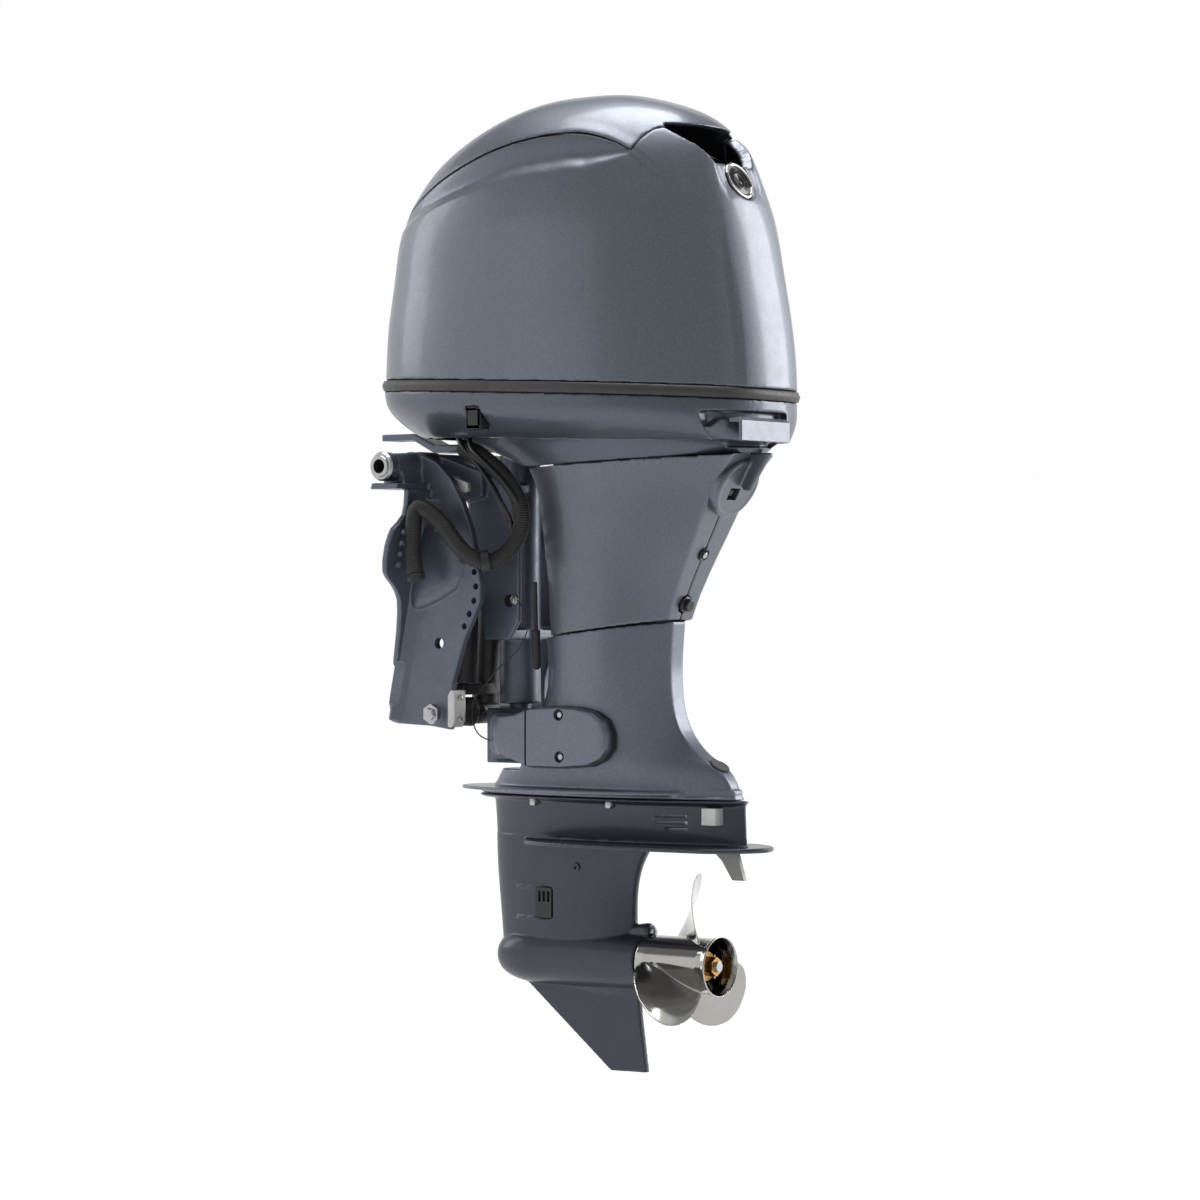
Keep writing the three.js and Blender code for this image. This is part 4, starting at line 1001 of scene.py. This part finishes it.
def exhaust_housing():
    body = loft("exhaust_housing_casting", shell_rings(HOUSING_STATIONS, 60, 140))
    splash = prism("splash", plate_plan(-0.008, 0.417, 0.092), -0.4385, -0.4335, axis=2)
    foot = loft("foot", [section(0.044, 0.475, 0.053, z, z, 2.4, 0, 0.012, 140) for z in (-0.444, -0.43)])
    lip = loft("lip", [section(0.022 + edge, 0.478 - edge, 0.066 - edge, z, z, 2.4, 0, 0.014, 140)
                       for edge, z in ((0.004, -0.444), (0.001, -0.443), (0.0, -0.4418), (0.006, -0.44))])
    join(body, splash, foot, lip)
    tower_plan = [(-0.03, 0.168), (0.03, 0.168), (0.05, 0.2), (0.05, 0.3), (0.035, 0.335),
                  (-0.035, 0.335), (-0.05, 0.3), (-0.05, 0.2)]
    join(body, prism("tower", tower_plan, -0.26, 0.058, axis=2))
    bore_plan = [(x * 0.84, 0.25 + (y - 0.25) * 0.88) for x, y in tower_plan]
    bore = prism("bore", bore_plan, -0.4, 0.08, axis=2)
    swivel_room = rod("room", (0, STEER_Y, -0.315), (0, STEER_Y, 0.08), 0.066, 64)
    yoke_room = box("yoke_room", (-0.043, 0.043), (0.02, 0.131), (-0.408, -0.3))
    cut(body, bore, swivel_room, yoke_room)
    cast(body, 0.0018, 5)
    cut(body, rod("grille_recess", GRILLE_AT - 0.004 * GRILLE_OUT, GRILLE_AT + 0.03 * GRILLE_OUT, 0.0155, 40))
    place(body, "motor", LEG_PAINT, "leg_paint", "exhaust_housing")


def idle_grille():
    slats = rod("idle_relief_grille", GRILLE_AT - 0.005 * GRILLE_OUT, GRILLE_AT - 0.0002 * GRILLE_OUT, 0.015,
                40)
    side = GRILLE_OUT.cross(Vector((1, 0, 0))).normalized()
    for i in range(5):
        at = GRILLE_AT + (i - 2) * 0.0052 * side
        cut(slats, rod("gap", at - Vector((0.012, 0, 0)) + 0.0004 * GRILLE_OUT,
                       at + Vector((0.012, 0, 0)) + 0.0004 * GRILLE_OUT, 0.0013, 12))
    place(slats, "motor", SATIN_BLACK, "black_plastic")


def vent_plan():
    """The plan of the anti-ventilation plate, from two quadratic curves a side."""
    def curve(a, b, c):
        t = np.linspace(0, 1, 24)[:, None]
        a, b, c = map(np.array, (a, b, c))
        return (1 - t) ** 2 * a + 2 * t * (1 - t) * b + t * t * c
    port = np.vstack([curve((0.034, 0.117), (0.084, 0.15), (0.085, 0.3)),
                      curve((0.074, 0.46), (0.052, 0.515), (0.0, 0.524))[:-1]])
    return np.vstack([port, [(0, 0.524)], port[::-1] * (-1, 1)])


def fairing_loft(name, rows):
    """A solid through upright rings on the middle plane, each given as (y, z, radius)."""
    turns = np.linspace(0, 2 * math.pi, 40, endpoint=False)
    return loft(name, [np.stack([radius * np.cos(turns), np.full(len(turns), y), z + radius * np.sin(turns)],
                                axis=1) for y, z, radius in rows])


TORPEDO = mm([  # radius, y
    (0, 53), (14, 55), (25, 62), (34, 78), (40, 104), (41, 140),
    (41, 270), (40, 318),
])
SKEG = mm([
    (75, -700), (253, -841), (317, -840), (306, -760), (300, -700), (150, -680),
])


def gearcase():
    body = loft("gearcase_casting", shell_rings(GEARCASE_STATIONS, 30, 140))
    strut = loft("strut", shell_rings(STRUT_STATIONS, 40, 140))
    plate = prism("plate", vent_plan(), -0.5165, -0.5095, axis=2)
    torpedo_profile = spline(TORPEDO, 48)
    torpedo_profile[:, 0] = np.maximum(torpedo_profile[:, 0], 0.0001)
    torpedo = lathe("torpedo", [*map(tuple, torpedo_profile), (0.0001, 0.318)], (0, 0, PROP_Z), (0, 1, 0), 96)
    skeg = prism("skeg", SKEG, -0.005, 0.005)
    join(body, strut, plate, torpedo, skeg)
    inlets = [box("inlet", span(side, 0.024, 0.06), (0.138, 0.166), (-0.624, -0.579)) for side in (1, -1)]
    seats = [box("seat", span(side, 0.031, 0.06), (0.4336, 0.4584), (-0.4794, -0.4546)) for side in (1, -1)]
    shaft_room = rod("shaft_room", (0, 0.19, PROP_Z), (0, 0.34, PROP_Z), 0.034, 64)
    flange = loft("flange", [
        section(0.02 + edge, 0.49 - edge, 0.066 - edge, z, z, 2.4, 0.45, 0, 140)
        for edge, z in ((0.01, -0.451), (0.003, -0.449), (0.0, -0.447), (0.001, -0.4448))])
    fairing = fairing_loft("fairing", [
        (0.262, -0.648, 0.003), (0.28, -0.643, 0.009), (0.3, -0.6395, 0.0125), (0.318, -0.637, 0.0125),
        (0.324, -0.637, 0.0105),
    ])
    ribs = [rod("rib", (side * 0.026, 0.1, z), (side * 0.0315, 0.15, z), 0.0022, 12)
            for side in (1, -1) for z in (-0.5795, -0.6245)]
    keel = fairing_loft("keel", [
        (0.15, -0.716, 0.006), (0.22, -0.72, 0.01), (0.28, -0.722, 0.0115), (0.32, -0.7225, 0.0105),
    ])
    join(body, flange, fairing, keel, *ribs)
    cut(body, *inlets, *seats, shaft_room)
    cast(body, 0.0018, 5)
    slots = [box("slot", (-0.06, 0.06), (y, 0.4055), (z - 0.0021, z + 0.0021))
             for y, z in ((0.356, -0.4675), (0.356, -0.477), (0.37, -0.4865))]
    cut(body, *slots)
    place(body, "motor", SHADED_GEARCASE_PAINT, "leg_paint", "gearcase")
    for i, y in enumerate((0.15, 0.286)):
        for side in (1, -1):
            bolt(f"leg_bolt_{i}_{side + 1}", "motor", (side * 0.052, y, -0.4505), (0, 0, -1), 0.0068, 0.0085)
    bolt("fairing_bolt", "motor", (0, 0.3235, -0.637), (0, 1, 0), 0.0065, 0.007)
    for side in (1, -1):
        plug = turned(f"level_plug_{side + 1}", [
            (0.0001, -0.004), (0.0062, -0.004), (0.0064, 0.0008), (0.0056, 0.0014), (0.003, 0.0014),
            (0.0028, 0.0002), (0.0001, 0.0002),
        ], (side * 0.0318, 0.211, -0.547), (side, 0, 0), 40)
        place(plug, "motor", SHADED_GEARCASE_PAINT, "leg_paint")


MOUNT_FACE = mm([
    (91, -348), (92.5, -334), (98, -329), (131, -326), (150, -319), (163, -316.5),
    (208, -314), (245, -315.5), (272, -321), (290, -333), (298, -353), (297, -374),
    (284, -390), (263, -399), (215, -403), (155, -403), (120, -392), (98, -384),
    (92, -372),
])
MOUNT_WRAP = mm([
    (82, -334), (92, -328), (130, -326), (130, -394), (92, -386), (82, -378),
])
MOUNT_BOLTS = ((0.213, -0.326), (0.2145, -0.3865))
MOUNT_SEAM_Y = 0.153


def mount_covers():
    middle = np.array([0.195, -0.36])
    face = resample(MOUNT_FACE, 160, closed=True)
    for name, side in (("port", 1), ("starboard", -1)):
        rings = []
        for depth, shrink in ((0.06, 0.0), (0.069, 0.0), (0.0735, 0.018), (0.0757, 0.05), (0.0765, 0.11)):
            outline = middle + (face - middle) * (1 - shrink)
            rings.append(np.insert(outline, 0, side * depth, axis=1))
        body = loft(f"mount_cover_{name}_moulding", rings)
        join(body, prism("wrap", MOUNT_WRAP, *span(side, 0.042, 0.07)))
        cut(body, loft("clear", shell_rings(HOUSING_STATIONS, 30, 96, inset=-0.0006)))
        cast(body, 0.0014, 6)
        seam = box("seam", span(side, 0.0715, 0.08), (MOUNT_SEAM_Y - 0.0014, MOUNT_SEAM_Y + 0.0014),
                   (-0.45, -0.3))
        pockets = [side_rod("pocket", side, (0.069, 0.09), at, 0.0085, 32) for at in MOUNT_BOLTS]
        cut(body, seam, *pockets)
        place(body, "motor", LEG_PAINT, "paint", f"lower_mount_cover_{name}")
        gasket_face = middle + (face - middle) * 1.022
        gasket = prism(f"mount_cover_{name}_gap", gasket_face, *span(side, 0.052, 0.0615))
        cut(gasket, loft("clear", shell_rings(HOUSING_STATIONS, 30, 96, inset=-0.0002)))
        place(gasket, "motor", BLACK, "black_plastic")
        for i, (y, z) in enumerate(MOUNT_BOLTS):
            bolt(f"mount_cover_{name}_bolt_{i}", "motor", (side * 0.0685, y, z), (side, 0, 0), 0.0052, 0.006)


lower_cowl()
aprons()
apron_details()
exhaust_housing()
idle_grille()
gearcase()
mount_covers()

# ---------- propeller ----------
BLADE_STATIONS = mm([  # radius, chord, thickness, sweep
    (34, 84, 8, 0), (60, 104, 5.5, 2), (90, 110, 4, 6),
    (112, 92, 3, 11), (125, 58, 2.4, 16), (130.8, 20, 1.8, 20),
])


def blade(turn):
    rings = []
    for radius, chord, thick, swept in spline(BLADE_STATIONS, 40):
        pitch = math.atan2(BLADE_PITCH, 2 * math.pi * radius * 1.15)
        angle = np.linspace(0, 2 * math.pi, 48, endpoint=False)
        along = chord / 2 * np.cos(angle)
        across_chord = thick / 2 * np.sin(angle)
        around = along * math.cos(pitch) - across_chord * math.sin(pitch)
        aft = along * math.sin(pitch) + across_chord * math.cos(pitch)
        swing = (around - swept) / radius + turn
        rings.append(np.stack([radius * np.sin(swing), 0.382 + aft + radius * 0.1,
                               radius * np.cos(swing) + PROP_Z], axis=1))
    return loft("blade", rings)


def propeller():
    hub = lathe("propeller_polished", [
        (0.022, 0.32), (0.039, 0.32), (0.0398, 0.335), (0.04, 0.38), (0.04, 0.426), (0.0412, 0.436),
        (0.044, 0.444), (0.0415, 0.4445), (0.0385, 0.436), (0.036, 0.424), (0.036, 0.334), (0.022, 0.334),
    ], (0, 0, PROP_Z), (0, 1, 0), 96)
    bore = rod("bore", (0, 0.335, PROP_Z), (0, 0.47, PROP_Z), 0.0358, 96)
    front = rod("front", (0, 0.3, PROP_Z), (0, 0.336, PROP_Z), 0.038, 64)
    blades = [blade(2 * math.pi * i / BLADES) for i in range(BLADES)]
    for each in blades:
        cut(each, copy_object(bore), copy_object(front))
    bpy.data.objects.remove(bore)
    bpy.data.objects.remove(front)
    sleeve = lathe("sleeve", [(0.018, 0.3335), (0.022, 0.3335), (0.022, 0.414), (0.018, 0.414)],
                   (0, 0, PROP_Z), (0, 1, 0), 64)
    spokes = []
    for i in range(BLADES):
        angle = (i + 0.5) * 2 * math.pi / BLADES
        s, c = math.sin(angle), math.cos(angle)
        inner, outer = ((r * s, 0.375, PROP_Z + r * c) for r in (0.02, 0.037))
        spokes.append(rod("spoke", inner, outer, 0.005, 24))
    join(hub, *blades, sleeve, *spokes)
    cast(hub, 0.0011, 4)
    place(hub, "propeller_shaft", STAINLESS, "stainless", "propeller")


propeller()

# ---------- clamp brackets ----------
FLANGE_EDGE = mm([  # height, half width of the flange along the transom's face
    (0, 166), (-10, 164), (-23, 162), (-37, 163), (-48, 172), (-57, 183),
    (-67, 187.5), (-81, 190), (-103, 189.5), (-120, 185), (-129, 176), (-138, 162.5),
    (-148, 151), (-161, 141.5), (-179, 136), (-205, 131.5), (-234, 128.5), (-264, 125.5),
    (-293, 122.5), (-312.5, 120), (-326, 113), (-338, 104),
])
WEB_EDGE = mm([
    (-51.5, 36), (-47, 50), (-34, 57), (-12, 53), (20, 40), (48, 14),
    (68, -20), (84, -60), (94, -100), (98.5, -120), (101.5, -140), (100, -163),
    (90, -183), (78, -205), (70, -222), (60, -250), (50, -280), (49, -300),
    (50, -330), (46, -350), (10, -345), (-40, -343), (-58, -342), (-71.5, -337),
])
BULGE_EDGE = mm([
    (-28, -160), (-19, -177), (11, -169), (33, -160), (60, -146), (71, -128),
    (76, -106), (72, -86), (54, -72), (22, -50), (4, -52), (-6, -80),
    (-18, -120),
])
BULGE_DEPTHS = [  # distance from the middle plane, share of the outline
    (0.112, 1.0), (0.1165, 1.0), (0.1215, 0.96), (0.1255, 0.88), (0.1275, 0.76), (0.1282, 0.5),
]
RIB_EDGE = mm([
    (-24, 46), (-14, 30), (-4, 10), (2, -15), (4, -48), (0, -48),
    (-3, -15), (-9, 8), (-19, 27), (-30, 42),
])
WEB_HOLES = mm([(90, -120), (93, -141), (89.5, -162), (81, -181), (72, -199)])
UPPER_BOLT = 0.1639
LOWER_BOLT = 0.1254
SLOT_RADIUS = 0.0048
TIE_ROD = (0.018, -0.327)
TRANSOM_OUT = Vector((0, -math.cos(TRANSOM_LEAN), math.sin(TRANSOM_LEAN)))


def face_y(z):
    return z * math.tan(TRANSOM_LEAN)


def on_face(side, x, z, out):
    """A point over the transom's aft face, at a height and a distance aft of the face."""
    return Vector((side * x, face_y(z), z)) - TRANSOM_OUT * out


def clamp_bracket(name, side):
    web_edge = resample(WEB_EDGE + [(face_y(0), 0.0), (-0.046, 0.0), (-0.046, 0.012)], 200, closed=True)
    body = prism(f"clamp_bracket_{name}_casting", web_edge, *span(side, 0.104, 0.116))
    edge = resample([(x, z) for z, x in FLANGE_EDGE], 160)
    rings = []
    for out, grow in ((0.0, 0.0), (0.004, 0.004), (0.011, 0.004)):
        ring = [on_face(side, x + grow, z, out) for x, z in edge]
        rings.append(ring + [on_face(side, 0.1045, -0.338, out), on_face(side, 0.1045, 0.0, out)])
    join(body, loft("flange", rings))
    corner = ((0.11, 0.005), (0.1255, 0.01), (0.1165, 0.027), (0.11, 0.027))
    join(body, loft("fillet", [[on_face(side, x, z, out) for x, out in corner] for z in (-0.01, -0.335)]))
    hook = prism("hook", [(-0.046, 0.0), (0.004, 0.0), (0.006, 0.008), (-0.043, 0.009)],
                 *span(side, 0.108, 0.188))
    boss = side_rod("boss", side, (0.106, 0.165), TILT_AXIS, 0.0225, 64, 0.0195)
    gusset = prism("gusset", [(-0.046, 0.01), (-0.006, 0.01), (-0.01, 0.032), (-0.048, 0.03)],
                   side * 0.11, side * 0.158)
    foot = side_rod("foot", side, (0.11, 0.1195), TIE_ROD, 0.0145, 48, 0.0125)
    join(body, hook, boss, gusset, foot)
    middle = np.array([0.026, -0.118])
    edge = resample(BULGE_EDGE, 120, closed=True)
    rings = []
    for depth, size in BULGE_DEPTHS:
        rings.append(np.insert(middle + (edge - middle) * size, 0, side * depth, axis=1))
    join(body, loft("bulge", rings))
    join(body, prism("rib", RIB_EDGE, side * 0.112, side * 0.121))
    cast(body, 0.0015, 7)
    holes = [rod("hole", on_face(side, UPPER_BOLT, z, -0.03), on_face(side, UPPER_BOLT, z, 0.03), 0.0055, 24)
             for z in (-0.061, -0.077, -0.093, -0.109)]
    holes += [side_rod("hole", side, (0.09, 0.14), at, 0.0046, 24) for at in WEB_HOLES]
    holes.append(side_rod("hole", side, (0.09, 0.14), (0.025, -0.224), 0.0082, 40))
    holes.append(side_rod("hole", side, (0.09, 0.18), TILT_AXIS, 0.0153, 48))
    holes.append(side_rod("hole", side, (0.09, 0.14), TIE_ROD, 0.0084, 32))
    turns = [math.pi * i / 12 for i in range(25)]
    plan = [(LOWER_BOLT + SLOT_RADIUS * math.cos(a),
             (-0.252 if a <= math.pi else -0.308) + SLOT_RADIUS * math.sin(a)) for a in turns]
    slot = loft("hole", [[on_face(side, x, z, out) for x, z in plan] for out in (-0.03, 0.03)])
    cut(body, slot, *holes)
    place(body, "transom_brackets", BRACKET_PAINT, "leg_paint", f"clamp_bracket_{name}")
    bolt(f"tie_rod_head_{name}", "transom_brackets", (side * 0.1245, *TIE_ROD), (side, 0, 0), 0.0095, 0.0085,
         washer=0.0125)


def tilt_tube():
    """The steel tube on the tilt axis with a chamfered nut at each end."""
    half = [(0.0146, 0.1655), (0.0192, 0.1657), (0.0212, 0.1675), (0.0212, 0.1815), (0.019, 0.1845),
            (0.0158, 0.185), (0.0158, 0.187), (0.015, 0.1882), (0.0104, 0.1882)]
    profile = half + [(radius, -along) for radius, along in reversed(half)]
    tube = lathe("tilt_tube_turned", profile, (0, *TILT_AXIS), (1, 0, 0), 64)
    tube.data.set_sharp_from_angle(angle=math.radians(30))
    place(tube, "transom_brackets", STEEL, "steel", "tilt_tube")


def swivel_details():
    """Round recesses in the swivel bracket's sides, a bolt, and the ribbed boot on the lower trim pivot."""
    for side in (1, -1):
        seat = side_rod(f"swivel_recess_{side}", side, (0.0585, 0.0612), (0.112, -0.1625), 0.009, 48)
        place(seat, "swivel", SATIN_BLACK, "black_plastic")
    bolt("swivel_bolt", "swivel", (0.0612, 0.1215, -0.161), (1, 0, 0), 0.0048, 0.0055, washer=0.0066)
    ribs = [(0.0001, -0.02)]
    for i in range(7):
        step = 0.0064 * i
        ribs += [(0.0185, -0.02 + step), (0.0215, -0.018 + step), (0.018, -0.0155 + step)]
    ribs.append((0.0001, 0.026))
    boot = turned("trim_boot", ribs, (0.048, 0.01, -0.325), (0, 1, 0), 40)
    place(boot, "transom_brackets", RUBBER, "rubber")
    bolt("trim_pivot_bolt", "transom_brackets", (0.058, 0.024, -0.281), (1, 0, 0), 0.0062, 0.006,
         washer=0.0085)


def bracket_anode():
    edge = [(0.047, -0.3), (0.053, -0.2915), (0.06, -0.2925), (0.0605, -0.312), (0.06, -0.336),
            (0.055, -0.346), (0.047, -0.3455)]
    body = prism("bracket_anode_bar", edge, 0.098, 0.124)
    cast(body, 0.0009, 5)
    place(body, "transom_brackets", ZINC, "zinc", "bracket_anode")
    for i, z in enumerate((-0.303, -0.333)):
        bolt(f"bracket_anode_bolt_{i}", "transom_brackets", (0.111, 0.06, z), (0, 1, 0), 0.0045, 0.0035)


clamp_bracket("port", 1)
clamp_bracket("starboard", -1)
tilt_tube()
swivel_details()
bracket_anode()

# ---------- carried CAD nodes ----------
CASTINGS = [  # node, body, material, slot, voxel, passes
    ("swivel_bracket", "swivel", BRACKET_PAINT, "leg_paint", 0.0018, 6),
    ("steering_shaft", "motor", BRACKET_PAINT, "leg_paint", 0.0014, 4),
    ("lower_yoke", "motor", BRACKET_PAINT, "leg_paint", 0.0016, 6),
    ("trim_cylinder", "ram_cylinder", BLACK, "black_plastic", 0.0014, 4),
    ("trim_motor", "ram_cylinder", BLACK, "black_plastic", 0.0014, 4),
    ("tilt_support_lever", "support_lever", ZINC, "zinc", 0.001, 4),
    ("leg_guard_bar", "motor", BLACK, "black_plastic", 0.0009, 4),
    ("latch_lever", "latch", PAINT, "paint", 0.001, 5),
    ("trim_switch", "trim_rocker", SATIN_BLACK, "black_plastic", 0.0006, 5),
    ("flush_fitting", "motor", SATIN_BLACK, "black_plastic", 0.0008, 4),
    ("hose_clip", "swivel", BLACK, "black_plastic", 0.0008, 3),
    ("oil_filter", "motor", SATIN_BLACK, "black_plastic", 0.002, 4),
]
for node, body, material, slot_name, voxel, passes in CASTINGS:
    place(cast(copy_of(node, node + "_cast"), voxel, passes), body, material, slot_name, node)

NODE_FINISHES = [
    (STEEL, "tie_rod", "cotter_pin", "prop_shaft", "crankshaft", "driveshaft", "pinion_gear", "camshaft",
     "forward_gear", "reverse_gear", "clutch_dog", "shift_rod"),
    (ALUMINIUM, "bearing_carrier", "guide_plate", "cylinder_block", "cylinder_head", "head_cover", "oil_pan",
     "flywheel"),
    (BLACK, "water_inlets", "water_pump_housing", "intake_manifold", "control_box"),
    (RUBBER, "hub_bush", "timing_belt", "pump_impeller"),
    (SATIN_BLACK, "starter_motor"), (STAINLESS, "trim_rod"), (BRASS, "prop_nut"), (ZINC, "side_anodes"),
    (TAB_ZINC, "trim_tab"),
]
for material, *names in NODE_FINISHES:
    for name in names:
        node = nodes[name]
        node.data.materials.clear()
        node.data.materials.append(material)
        node.modifiers.new("weld", "WELD").merge_threshold = 0.00001
        bevel_step(node, 0.0006, 40)
